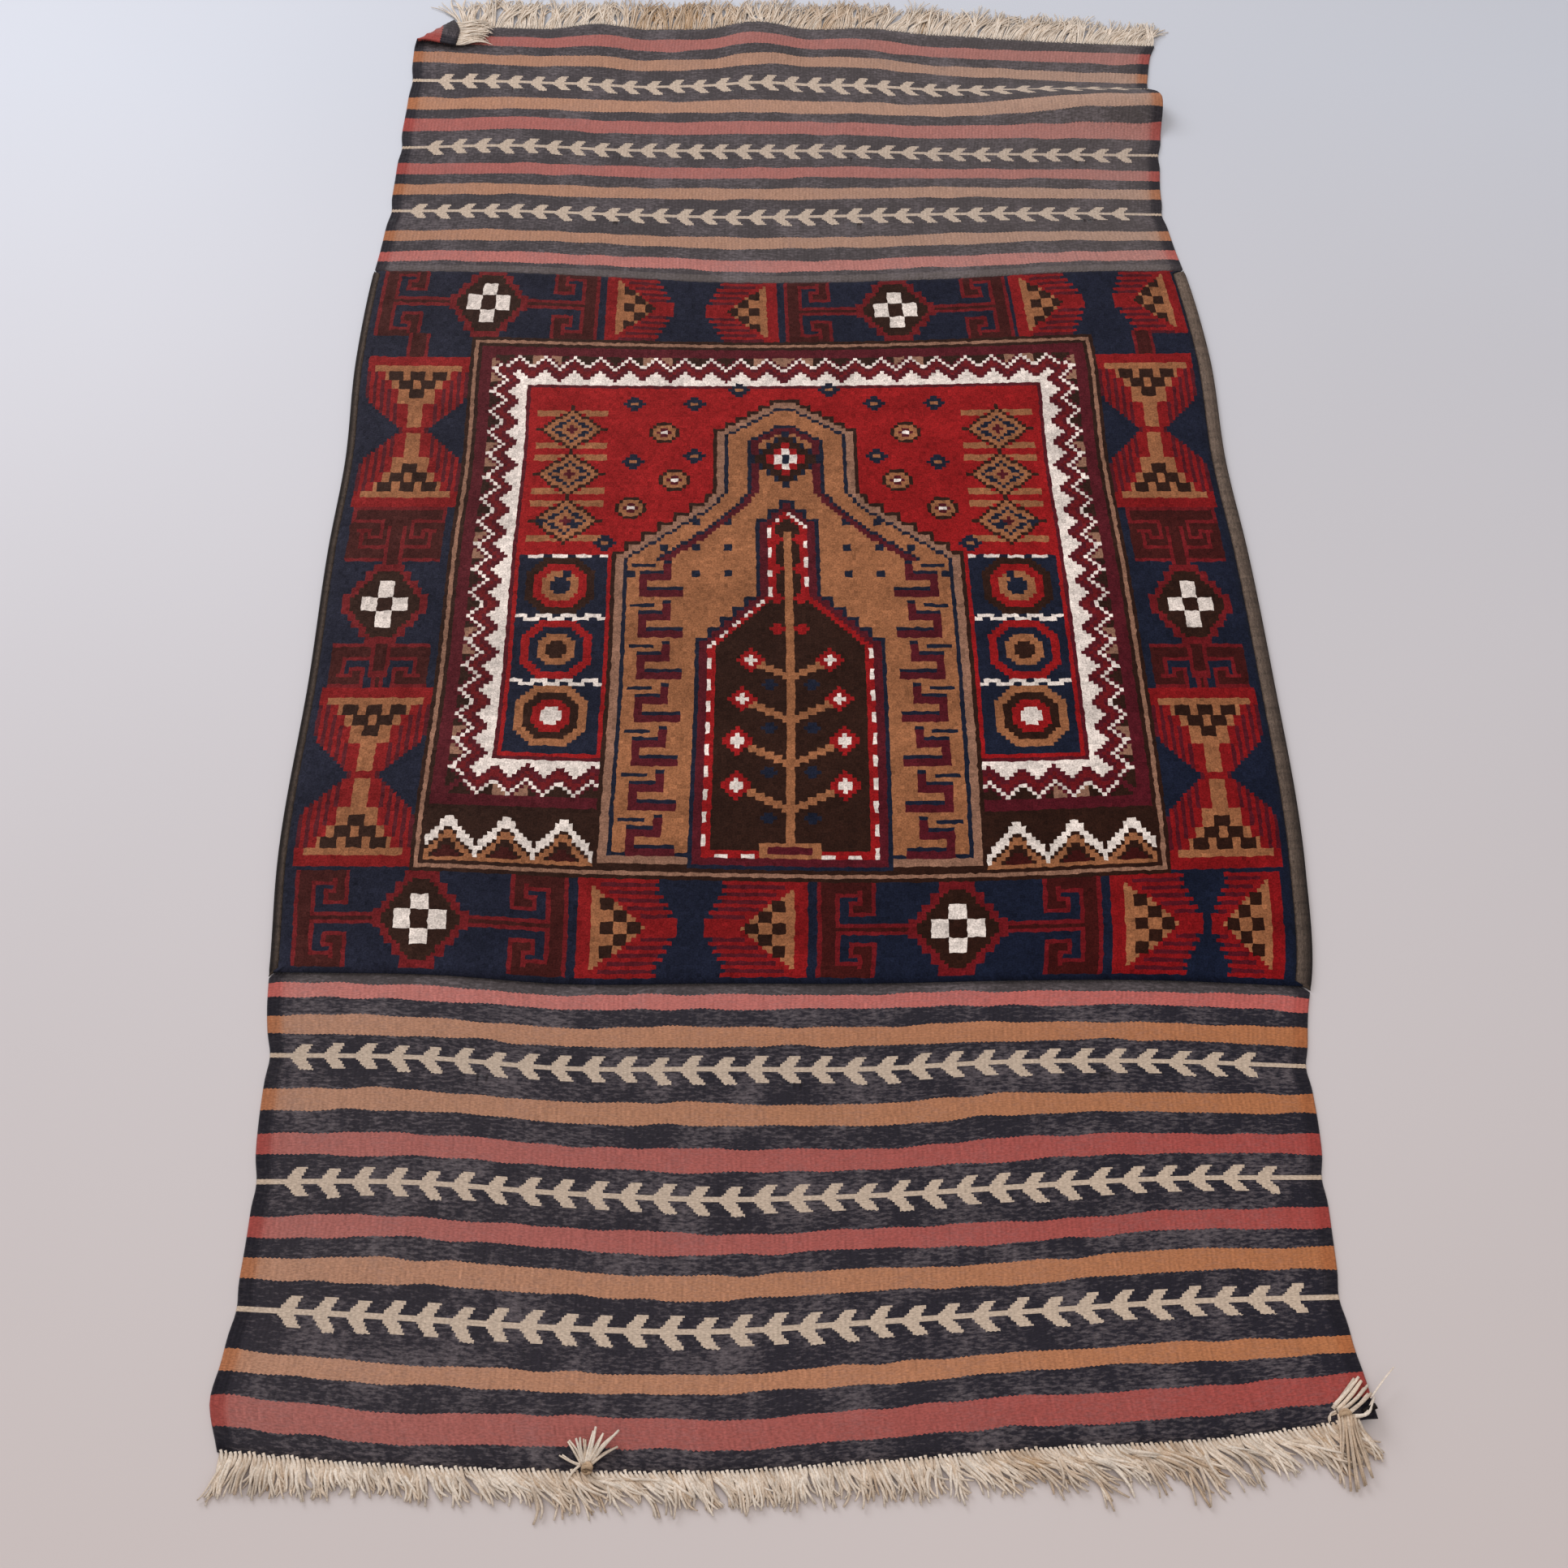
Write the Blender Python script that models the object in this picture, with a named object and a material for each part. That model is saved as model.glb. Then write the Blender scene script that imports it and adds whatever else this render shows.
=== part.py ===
"""A hand-knotted prayer rug, lying on the floor.

The middle of the rug is knotted pile, and both ends are flat-woven, with striped bands. The
warps leave each end as a fringe, and a dark overcast selvage runs along each side of the pile.
The far left corner is folded over, the near right corner curls up, and low ripples cross the
far end. The X axis runs across the rug, Y from the near end to the far end, and Z up from the
floor. The origin is on the floor, under the middle of the whole rug.
"""

import math
import random

import bmesh
import bpy
import numpy as np
from mathutils import Matrix, Vector

# Driving sizes, in metres.
CLOTH_NEAR = -0.797
CLOTH_FAR = 0.771
PILE_NEAR = -0.420
PILE_FAR = 0.370
KILIM_THICK = 0.0025
PILE_THICK = 0.0080
PILE_STEP = 0.0035
CLEARANCE = 0.0004

# Each side's selvage: how far it reaches in from the rug's edge, its height and its end taper.
SELVAGE_WIDTH = {"left": 0.008, "right": 0.014}
SELVAGE_HEIGHT = 0.0055
SELVAGE_TAPER = 0.006
SELVAGE_SIDES = 8
SELVAGE_END_HEIGHT = 0.35

# The fringe: the strip that holds the roots, the extra gap where it rolls over with the folded
# corner, and the strands that leave it.
STRIP_DEPTH = 0.003
ROLL_CLEARANCE = 0.0018
STRIP_THICK = 0.0022
STRANDS = 140
STRAND_SHARE = 0.56
STRAND_LANDING = 0.7
STRAND_STEPS = (0.45, 1.0)
STRAND_TAPER = (0.95, 0.5)
STRAND_SEED = 7
LEAN_WAVE = 4.0
LEAN_TURNS = 74.0
LEAN_CHANCE = 0.6
LENGTH_CHANCE = (0.86, 1.08)
STEEP = 0.3

# The corner fold: two points of its line, the inner radius of its roll and the slope at which
# the flap sinks.
FOLD_START = (-0.4290, 0.7340)
FOLD_END = (-0.3780, 0.7760)
FOLD_RADIUS = 0.0030
FLAP_SINK = 0.10

# The near right corner curls up beyond a diagonal that crosses this point.
CURL_POINT = (0.3900, -0.7370)
CURL_RATE = 5.5

# The rug's edges: how far along, and where the left and right edges are.
#            along    left     right
EDGES = (
    (-0.797, -0.4150, 0.4270),
    (-0.767, -0.4260, 0.4250),
    (-0.737, -0.4220, 0.4210),
    (-0.697, -0.4190, 0.4180),
    (-0.632, -0.4170, 0.4180),
    (-0.557, -0.4210, 0.4200),
    (-0.492, -0.4230, 0.4200),
    (-0.447, -0.4290, 0.4250),
    (-0.402, -0.4320, 0.4350),
    (-0.322, -0.4380, 0.4420),
    (-0.112, -0.4360, 0.4410),
    (0.028, -0.4370, 0.4360),
    (0.128, -0.4340, 0.4290),
    (0.258, -0.4390, 0.4290),
    (0.368, -0.4350, 0.4170),
    (0.403, -0.4320, 0.4110),
    (0.503, -0.4280, 0.4040),
    (0.598, -0.4280, 0.4130),
    (0.643, -0.4270, 0.4160),
    (0.683, -0.4280, 0.4070),
    (0.743, -0.4290, 0.4150),
    (0.771, -0.4290, 0.4220),
)

# How far the wefts bow along Y, in millimetres, at places across the rug.
BOW_ACROSS = (-0.42, -0.30, -0.18, -0.06, 0.06, 0.18, 0.30, 0.42)
#   along    and the bow at each of those places
BOW = (
    (-0.797, 17, 6, 3, 0, 6, 17, 23, 33),
    (-0.632, 13, 13, 5, -1, 4, 9, 18, 20),
    (-0.572, 14, 13, 4, 0, 1, 10, 14, 14),
    (-0.437, 10, 8, -1, 0, 0, 3, 3, -3),
    (-0.400, 0, 0, 0, 0, 0, 0, 0, 0),
    (0.350, 0, 0, 0, 0, 0, 0, 0, 0),
    (0.396, 10, 11, 4, -1, 1, 6, 12, 12),
    (0.502, 4, 4, 0, -1, 2, 1, -2, -6),
    (0.606, 0, 4, -4, -4, -6, -10, -6, -3),
    (0.640, 1, 3, -4, -3, -6, -9, -6, 1),
    (0.710, 6, 0, -9, -3, -1, -8, -26, -33),
    (0.771, 5, -3, 2, 1, -5, -8, -15, -25),
)

# The ripples: the middle of each crest, which way it runs, half its length and width, its height.
#     x        y     degrees  reach   half    rise
RIPPLES = (
    (-0.218, 0.800, 90, 0.190, 0.062, 0.0080),
    (-0.037, 0.800, 92, 0.210, 0.066, 0.0110),
    (0.095, 0.800, 88, 0.170, 0.070, 0.0045),
    (0.440, 0.655, 176, 0.290, 0.034, 0.0200),
    (-0.330, -0.640, 20, 0.080, 0.040, 0.0020),
    (0.250, -0.600, 170, 0.120, 0.045, 0.0020),
)

# Each fringe at places across the rug: how far its strands lean to +X, in degrees, and their
# length in millimetres.
#     x       lean  length
NEAR_FRINGE = (
    (-0.43, -42, 34),
    (-0.40, -24, 32),
    (-0.36, -4, 22),
    (-0.30, 3, 22),
    (-0.24, 16, 32),
    (-0.18, 20, 34),
    (-0.10, 31, 28),
    (-0.04, 14, 28),
    (0.00, 0, 30),
    (0.06, 8, 28),
    (0.14, 26, 34),
    (0.22, 34, 42),
    (0.30, 32, 44),
    (0.38, 24, 42),
    (0.43, 12, 34),
)
FAR_FRINGE = (
    (-0.43, -10, 50),
    (-0.39, -16, 48),
    (-0.34, 4, 50),
    (-0.22, 6, 52),
    (-0.10, -3, 50),
    (0.00, 5, 52),
    (0.12, 9, 52),
    (0.26, 13, 50),
    (0.36, 18, 46),
    (0.43, 22, 42),
)

# The strands that stand up from the near strip and fall back over the cloth: where they leave
# the strip, how far they lean to +X and climb, in degrees, and their length in millimetres.
#     x       lean  climb length
TUFT = (
    (-0.163, -48, 26, 22),
    (-0.157, -16, 32, 28),
    (-0.151, 14, 28, 30),
    (-0.145, 44, 22, 27),
    (0.404, 28, 14, 24),
    (0.410, 20, 10, 30),
    (0.416, 12, 8, 22),
    (0.422, 34, 12, 34),
)
TUFT_TAPER = (0.9, 0.45)
BARE_FROM = 0.401

# The cloth's cells: how many cross it, how long they are, and how far the finer ones reach in
# from a corner.
COLUMNS = 24
HALF_WIDTH = 0.42
KILIM_ROW = 0.026
FAR_ROW = 0.014
FAR_ROWS_REACH = 0.230
PILE_ROW = 0.060
CORNER_REACH = 0.075

CLOTH_COLOUR = (0.115, 0.032, 0.030)
FRINGE_COLOUR = (0.610, 0.540, 0.420)
SELVAGE_COLOUR = (0.050, 0.034, 0.024)


def smooth_read(table, at):
    """Reads a table's columns at places along its first one, on a smooth curve through its rows."""
    rows = np.array(table, float)
    keys = rows[:, 0]
    values = rows[:, 1:]
    slopes = np.gradient(values, keys, axis=0)
    at = np.clip(np.asarray(at, float), keys[0], keys[-1])
    low = np.clip(np.searchsorted(keys, at, side="right") - 1, 0, len(keys) - 2)
    span = keys[low + 1] - keys[low]
    f = ((at - keys[low]) / span)[:, None]
    step = span[:, None]
    start = (2 * f**3 - 3 * f**2 + 1) * values[low] + (f**3 - 2 * f**2 + f) * step * slopes[low]
    end = (3 * f**2 - 2 * f**3) * values[low + 1] + (f**3 - f**2) * step * slopes[low + 1]
    return start + end


def ease(value):
    """A soft step from 0 to 1."""
    value = np.clip(value, 0, 1)
    return value * value * (3 - 2 * value)


def in_pile(along, step):
    """1 in the knotted middle and 0 in the flat-woven ends, with a soft step between them."""
    near = ease((along - PILE_NEAR) / step + 0.5)
    far = ease((PILE_FAR - along) / step + 0.5)
    return near * far


def bow(x, along):
    """How far the weft that crosses the rug at this place is carried along Y, in metres."""
    rows = smooth_read(BOW, along)
    out = np.empty(len(x))
    for k, (place, row) in enumerate(zip(x, rows)):
        table = np.column_stack([BOW_ACROSS, row])
        out[k] = smooth_read(table, [place])[0, 0]
    return out / 1000


def lift(x, y):
    """How far the ripples and the curled corner raise the cloth off the floor."""
    height = np.zeros(len(x))
    for middle_x, middle_y, degrees, reach, half, rise in RIPPLES:
        turn = math.radians(degrees)
        run = (x - middle_x) * math.cos(turn) + (y - middle_y) * math.sin(turn)
        side = (y - middle_y) * math.cos(turn) - (x - middle_x) * math.sin(turn)
        crest = np.cos(np.clip(run / reach, -1, 1) * math.pi / 2)
        slope = np.cos(np.clip(side / half, -1, 1) * math.pi / 2)
        height = np.maximum(height, rise * crest**2 * slope**2)
    beyond = ((x - CURL_POINT[0]) - (y - CURL_POINT[1])) / math.sqrt(2)
    return height + CURL_RATE * np.clip(beyond, 0, None) ** 2


def fold(x, y, z, thick):
    """Turns what lies beyond the fold line up and over the cloth, round a soft roll."""
    start = np.array(FOLD_START)
    along = np.array(FOLD_END) - start
    along /= np.linalg.norm(along)
    out = np.array((-along[1], along[0]))
    beyond = (x - start[0]) * out[0] + (y - start[1]) * out[1]
    roll = FOLD_RADIUS + KILIM_THICK / 2
    radius = FOLD_RADIUS + KILIM_THICK - thick
    axis = z + KILIM_THICK + FOLD_RADIUS
    angle = np.clip(beyond / roll, 0, math.pi)
    past = np.clip(beyond - math.pi * roll, 0, None)
    moved = radius * np.sin(angle) - past
    turned = beyond > 0
    shift = np.where(turned, moved - beyond, 0)
    height = np.where(turned, axis - radius * np.cos(angle) - FLAP_SINK * past, z + thick)
    return x + shift * out[0], y + shift * out[1], height


def place(across, along, thick, inset=True):
    """Points of the lying rug, from their place across it (-1 to 1), along it and up through it.

    With inset, the cloth's edge stands back along the pile, to leave room for the selvages."""
    across = np.asarray(across, float)
    along = np.asarray(along, float)
    thick = np.asarray(thick, float)
    left, right = smooth_read(EDGES, along).T
    if inset:
        left = left + SELVAGE_WIDTH["left"] * in_pile(along, SELVAGE_TAPER)
        right = right - SELVAGE_WIDTH["right"] * in_pile(along, SELVAGE_TAPER)
    x = left + (right - left) * (across + 1) / 2
    y = along + bow(x, along)
    return np.column_stack(fold(x, y, lift(x, y), thick))


def rows_between(start, end, step):
    """Even steps from start up to, and without, end."""
    count = max(1, round((end - start) / step))
    return [start + (end - start) * k / count for k in range(count)]


def cloth_rows():
    """The places along the rug of the cloth's cross rows."""
    half = PILE_STEP / 2
    taper = SELVAGE_TAPER / 2
    rows = rows_between(CLOTH_NEAR, PILE_NEAR - taper, KILIM_ROW)
    rows += [PILE_NEAR - taper, PILE_NEAR - half, PILE_NEAR + half]
    rows += rows_between(PILE_NEAR + taper, PILE_FAR - taper, PILE_ROW)
    rows += [PILE_FAR - taper, PILE_FAR - half, PILE_FAR + half]
    rows += rows_between(PILE_FAR + taper, CLOTH_FAR - FAR_ROWS_REACH, KILIM_ROW)
    rows += rows_between(CLOTH_FAR - FAR_ROWS_REACH, CLOTH_FAR, FAR_ROW)
    return rows + [CLOTH_FAR]


def finish_object(name, bm, colour, roughness):
    """Makes a named object with its own material from a bmesh."""
    bmesh.ops.recalc_face_normals(bm, faces=bm.faces)
    if bm.calc_volume(signed=True) < 0:
        bmesh.ops.reverse_faces(bm, faces=bm.faces)
    mesh = bpy.data.meshes.new(name)
    bm.to_mesh(mesh)
    bm.free()
    material = bpy.data.materials.new(name)
    material.use_nodes = True
    shader = material.node_tree.nodes["Principled BSDF"]
    shader.inputs["Base Color"].default_value = (*colour, 1)
    shader.inputs["Roughness"].default_value = roughness
    shader.inputs["Metallic"].default_value = 0
    mesh.materials.append(material)
    thing = bpy.data.objects.new(name, mesh)
    bpy.context.scene.collection.objects.link(thing)
    return thing


def flat_grid(columns, rows):
    """A flat sheet of cells whose points stand at the given places, as (across, along, 0)."""
    bm = bmesh.new()
    wide = len(columns) - 1
    long = len(rows) - 1
    bmesh.ops.create_grid(bm, x_segments=wide, y_segments=long, size=0.5)
    for vert in bm.verts:
        column = round((vert.co.x + 0.5) * wide)
        row = round((vert.co.y + 0.5) * long)
        vert.co = (columns[column], rows[row], 0)
    return bm


def thicken(bm):
    """Adds the upper face and the side walls to a flat sheet: its points get a height of 1."""
    grown = bmesh.ops.extrude_face_region(bm, geom=bm.faces[:])
    for part in grown["geom"]:
        if isinstance(part, bmesh.types.BMVert):
            part.co.z = 1


def move_all(bm, points):
    """Gives every point its new place."""
    for vert, point in zip(bm.verts, points):
        vert.co = point


def make_cloth():
    """The rug's one cloth: the knotted middle and both flat-woven ends."""
    columns = [-1 + 2 * k / COLUMNS for k in range(COLUMNS + 1)]
    bm = flat_grid(columns, cloth_rows())
    corners = ((-1, CLOTH_FAR, 4), (1, CLOTH_NEAR, 1))
    for corner_across, corner_along, cuts in corners:
        edges = set()
        for face in bm.faces:
            middle = face.calc_center_median()
            off_side = abs(middle.x - corner_across) * HALF_WIDTH
            off_end = abs(middle.y - corner_along)
            if off_side < CORNER_REACH and off_end < CORNER_REACH:
                edges.update(face.edges)
        bmesh.ops.subdivide_edges(bm, edges=list(edges), cuts=cuts, use_grid_fill=True)
    thicken(bm)
    points = np.array([vert.co for vert in bm.verts])
    pile = in_pile(points[:, 1], PILE_STEP)
    thick = (KILIM_THICK + (PILE_THICK - KILIM_THICK) * pile) * points[:, 2]
    move_all(bm, place(points[:, 0], points[:, 1], thick))
    return finish_object("rug_cloth", bm, CLOTH_COLOUR, 0.95)


def strip_columns():
    """Where the cells of a fringe strip begin and end: gaps and strands by turns."""
    pitch = 2 / STRANDS
    wide = pitch * STRAND_SHARE
    columns = [-1]
    for k in range(STRANDS):
        start = -1 + pitch * k + (pitch - wide) / 2
        columns += [start, start + wide]
    return columns + [1]


def draw_out(bm, face, facing, steps):
    """Draws a strand out of a face that faces one way, through steps of a place, a heading and
    a taper."""
    middle = face.calc_center_median()
    offsets = [vert.co - middle for vert in face.verts]
    for where, heading, taper in steps:
        grown = bmesh.ops.extrude_discrete_faces(bm, faces=[face])
        face = grown["faces"][0]
        turn = facing.rotation_difference(heading)
        for vert, offset in zip(face.verts, offsets):
            vert.co = where + (turn @ offset) * taper


def lying_strand(bm, face, facing, lean, length, floor):
    """One strand that runs level from the strip and comes to rest on what lies under it."""
    middle = face.calc_center_median()
    half_high = max(abs(vert.co.z - middle.z) for vert in face.verts)
    heading = Matrix.Rotation(-lean, 3, "Z") @ facing
    steps = []
    for share, taper in zip(STRAND_STEPS, STRAND_TAPER):
        where = middle + heading * length * share
        rest = floor + half_high * taper
        where.z += (rest - middle.z) * float(ease(share / STRAND_LANDING))
        steps.append((where, heading, taper))
    draw_out(bm, face, facing, steps)


def standing_strand(bm, face, lean, climb, length):
    """One strand that rises from the strip's upper face and falls back over the cloth."""
    up = Vector((0, 0, 1))
    back = Vector((math.sin(lean), math.cos(lean), 0))
    heading = back * math.cos(climb) + up * math.sin(climb)
    knee = face.calc_center_median() + up * STRIP_DEPTH
    first, last = TUFT_TAPER
    steps = [(knee, (up + heading).normalized(), first), (knee + heading * length, heading, last)]
    draw_out(bm, face, up, steps)


def strip_grid(end, outward):
    """A fringe's strip as a closed box of cells, lying just off the cloth's edge.

    Gives the bmesh and, for each cell that a strand leaves, its outer face, its upper face and
    the way the outer face looks."""
    outer = end + outward * (CLEARANCE + STRIP_DEPTH)
    columns = strip_columns()
    bm = flat_grid(columns, sorted((end + outward * CLEARANCE, outer)))
    thicken(bm)
    flat = np.array([vert.co for vert in bm.verts])
    cells = {}
    for face in bm.faces:
        middle = face.calc_center_median()
        key = int(np.searchsorted(columns, middle.x)) - 1
        if key % 2 == 0 or not 0 < key < len(columns) - 1:
            continue
        if abs(middle.y - outer) < STRIP_DEPTH / 10:
            cells.setdefault(key, {"across": middle.x})["outer"] = face
        elif middle.z > 0.9:
            cells.setdefault(key, {"across": middle.x})["upper"] = face
    at_end = np.full(len(flat), end)
    edge = place(flat[:, 0], at_end, STRIP_THICK * flat[:, 2])
    behind = place(flat[:, 0], at_end - outward * 0.001, STRIP_THICK * flat[:, 2])
    heading = edge - behind
    heading /= np.linalg.norm(heading, axis=1)[:, None]
    for cell in cells.values():
        nearest = np.argmin(np.abs(flat[:, 0] - cell["across"]))
        cell["facing"] = Vector(heading[nearest])
    past = np.abs(flat[:, 1] - end) + ROLL_CLEARANCE * np.abs(heading[:, 2])
    move_all(bm, edge + heading * past[:, None])
    bmesh.ops.recalc_face_normals(bm, faces=bm.faces)
    for cell in cells.values():
        cell["x"] = cell["upper"].calc_center_median().x
    return bm, [cells[key] for key in sorted(cells)]


def make_fringe(name, end, outward, table, tuft=(), bare_from=1.0):
    """One end's fringe: a strip just off the cloth's edge, and the strands that leave it."""
    bm, cells = strip_grid(end, outward)
    chance = random.Random(STRAND_SEED)
    for cell in cells:
        x = cell["x"]
        lean, length = smooth_read(table, [x])[0]
        lean += LEAN_WAVE * math.sin(x * LEAN_TURNS) + chance.uniform(-LEAN_CHANCE, LEAN_CHANCE)
        lean = math.radians(lean)
        length = length / 1000 * chance.uniform(*LENGTH_CHANCE)
        facing = cell["facing"]
        rolling = abs(facing.z) > STEEP
        if rolling or x > bare_from:
            continue
        facing.z = 0
        facing.normalize()
        folded = facing.y * outward < 0.5
        if folded:
            lying_strand(bm, cell["outer"], facing, 0, length, KILIM_THICK + 2 * CLEARANCE)
        else:
            lying_strand(bm, cell["outer"], facing, lean * outward, length, 0)
    for x, lean, climb, length in tuft:
        cell = min(cells, key=lambda one: abs(one["x"] - x))
        angles = math.radians(lean), math.radians(climb)
        standing_strand(bm, cell["upper"], *angles, length / 1000)
    return finish_object(name, bm, FRINGE_COLOUR, 0.9)


def make_selvage(side):
    """The overcast edge along one side of the pile, thin where it begins and ends."""
    sign = {"left": -1, "right": 1}[side]
    rows = [row for row in cloth_rows() if PILE_NEAR - 0.001 < row < PILE_FAR + 0.001]
    bm = bmesh.new()
    disc = bmesh.ops.create_circle(bm, cap_ends=True, segments=SELVAGE_SIDES, radius=1)
    turn = math.pi / SELVAGE_SIDES
    for vert in disc["verts"]:
        angle = math.atan2(vert.co.y, vert.co.x) + turn
        flat = 1 / math.cos(turn)
        vert.co = (math.cos(angle) * flat, math.sin(angle) * flat, 0)
    face = bm.faces[:][0]
    for k in range(1, len(rows)):
        grown = bmesh.ops.extrude_face_region(bm, geom=[face])
        if k > 1:
            bmesh.ops.delete(bm, geom=[face], context="FACES_ONLY")
        face = next(part for part in grown["geom"] if isinstance(part, bmesh.types.BMFace))
        for vert in face.verts:
            vert.co.z = k
    ring = np.array([vert.co for vert in bm.verts])
    along = np.array(rows)[np.round(ring[:, 2]).astype(int)]
    side_of_rug = np.full(len(along), float(sign))
    outer = place(side_of_rug, along, 0 * along, inset=False)
    inner = place(side_of_rug, along, 0 * along)
    room = np.abs(outer[:, 0] - inner[:, 0]) - CLEARANCE
    share = np.clip(room / (SELVAGE_WIDTH[side] - CLEARANCE), 0, 1)
    high = SELVAGE_HEIGHT * (SELVAGE_END_HEIGHT + (1 - SELVAGE_END_HEIGHT) * share)
    limit = np.clip(ring[:, 0], -1, 1)
    x = outer[:, 0] - sign * room / 2 + limit * room / 2
    z = outer[:, 2] + high / 2 * (1 + np.clip(ring[:, 1], -1, 1))
    move_all(bm, np.column_stack([x, outer[:, 1], z]))
    return finish_object(f"selvage_{side}", bm, SELVAGE_COLOUR, 0.9)


def main():
    for old in list(bpy.data.objects):
        bpy.data.objects.remove(old, do_unlink=True)
    make_cloth()
    make_fringe("fringe_near", CLOTH_NEAR, -1, NEAR_FRINGE, TUFT, BARE_FROM)
    make_fringe("fringe_far", CLOTH_FAR, 1, FAR_FRINGE)
    make_selvage("left")
    make_selvage("right")


main()
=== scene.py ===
"""A hand-knotted prayer rug with striped flat-woven ends, lying on a floor.

Laid out as an add-on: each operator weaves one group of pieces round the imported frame, and
main() runs them in order. X runs across the rug, Y along it and Z up from the floor, in metres.
"""

import math

import bmesh
import bpy
import numpy as np
from bpy.props import FloatProperty, FloatVectorProperty, IntProperty, PointerProperty
from mathutils import Matrix, Vector


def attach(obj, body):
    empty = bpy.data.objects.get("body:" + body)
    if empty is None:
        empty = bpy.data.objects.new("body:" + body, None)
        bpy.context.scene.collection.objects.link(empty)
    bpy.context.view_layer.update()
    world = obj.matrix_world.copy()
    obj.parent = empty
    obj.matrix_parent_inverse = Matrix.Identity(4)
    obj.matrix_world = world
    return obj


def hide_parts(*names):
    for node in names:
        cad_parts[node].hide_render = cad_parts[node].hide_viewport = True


bl_info = {
    "name": "Knotted Prayer Rug",
    "version": (1, 0, 0),
    "blender": (4, 5, 0),
    "location": "3D View > Sidebar > Rug",
    "description": "Weaves a prayer rug with a knotted middle, striped flat-woven ends and fringes",
    "category": "Object",
}

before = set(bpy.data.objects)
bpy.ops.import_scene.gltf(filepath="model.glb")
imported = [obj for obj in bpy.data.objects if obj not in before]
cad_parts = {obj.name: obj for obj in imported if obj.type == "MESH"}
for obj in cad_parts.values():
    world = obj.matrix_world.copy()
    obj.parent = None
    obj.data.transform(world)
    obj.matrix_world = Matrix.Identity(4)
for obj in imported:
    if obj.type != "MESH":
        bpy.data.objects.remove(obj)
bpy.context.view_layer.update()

# ---------------------------------------------------------------------------------------------
# The lying cloth's form. These sizes and tables are those of the rug's solids, but BOW has more
# rows where only the pattern shows it, the folded corner reaches further, and the far right ridge
# in RIPPLES is wider and nearer.

# Where the cloth and its pile begin and end along the rug, and how thick they are.
CLOTH_NEAR = -0.797
CLOTH_FAR = 0.771
PILE_NEAR = -0.420
PILE_FAR = 0.370
KILIM_THICK = 0.0025
PILE_THICK = 0.0080
# The selvages narrow over SELVAGE_TAPER at the pile's ends, down to that share of their height.
SELVAGE_WIDTH = {"left": 0.008, "right": 0.014}
SELVAGE_HEIGHT = 0.0055
SELVAGE_TAPER = 0.006
SELVAGE_END_HEIGHT = 0.35

# The far left corner is folded over this line, round this inner radius. Its flap sinks by a share
# of its length and reaches further out, more and more over these lengths across and along the rug.
FOLD_START = (-0.4290, 0.7340)
FOLD_END = (-0.3780, 0.7760)
FOLD_RADIUS = 0.0030
FLAP_SINK = 0.10
FLAP_REACH = 0.016
FLAP_GROWTH = (0.03, 0.04)
# The near right corner curls up from this point, with the square of the way past it.
CURL_POINT = (0.3900, -0.7370)
CURL_RATE = 5.5

# The rug's edges: how far along, and where the left and right edges are.
#            along    left     right
EDGES = (
    (-0.797, -0.4150, 0.4270),
    (-0.767, -0.4260, 0.4250),
    (-0.737, -0.4220, 0.4210),
    (-0.697, -0.4190, 0.4180),
    (-0.632, -0.4170, 0.4180),
    (-0.557, -0.4210, 0.4200),
    (-0.492, -0.4230, 0.4200),
    (-0.447, -0.4290, 0.4250),
    (-0.402, -0.4320, 0.4350),
    (-0.322, -0.4380, 0.4420),
    (-0.112, -0.4360, 0.4410),
    (0.028, -0.4370, 0.4360),
    (0.128, -0.4340, 0.4290),
    (0.258, -0.4390, 0.4290),
    (0.368, -0.4350, 0.4170),
    (0.403, -0.4320, 0.4110),
    (0.503, -0.4280, 0.4040),
    (0.598, -0.4280, 0.4130),
    (0.643, -0.4270, 0.4160),
    (0.683, -0.4280, 0.4070),
    (0.743, -0.4290, 0.4150),
    (0.771, -0.4290, 0.4220),
)

# How far the wefts bow along Y, in millimetres, at places across the rug.
BOW_ACROSS = (-0.42, -0.30, -0.18, -0.06, 0.06, 0.18, 0.30, 0.42)
#   along    and the bow at each of those places
BOW = (
    (-0.797, 12, 2, -2, -3, 4, 13, 19, 33),
    (-0.765, 16, 5, 2, -1, 6, 16, 22, 32),
    (-0.735, 15, 5, -1, -3, 4, 14, 20, 26),
    (-0.632, 13, 13, 5, -1, 4, 9, 18, 20),
    (-0.572, 14, 13, 4, 0, 1, 10, 14, 14),
    (-0.437, 10, 8, -1, 0, 0, 3, 3, -3),
    (-0.318, 4, 3, -3, -6, -8, -6, 0, 3),
    (-0.190, -1, -1, -5, -6, -6, -5, -2, -1),
    (-0.060, -4, -4, -4, -4, -4, -4, -4, -4),
    (0.120, -2, -2, -2, -2, -2, -2, -2, -2),
    (0.282, 4, 2, -2, -5, -4, 0, 6, 8),
    (0.350, 12, 9, 2, -6, -5, 0, 10, 12),
    (0.396, 10, 10, 3, -4, -3, 3, 10, 11),
    (0.502, 4, 4, -1, -4, -2, -1, -2, -6),
    (0.606, 0, 4, -4, -4, -6, -11, -11, -13),
    (0.640, 1, 3, -4, -3, -6, -9, -7, -12),
    (0.710, 10, 3, -6, -2, -1, -14, -24, -29),
    (0.742, 13, 5, -1, 2, -1, -13, -20, -24),
    (0.771, 5, -2, -4, -3, -5, -14, -25, -33),
)

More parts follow.
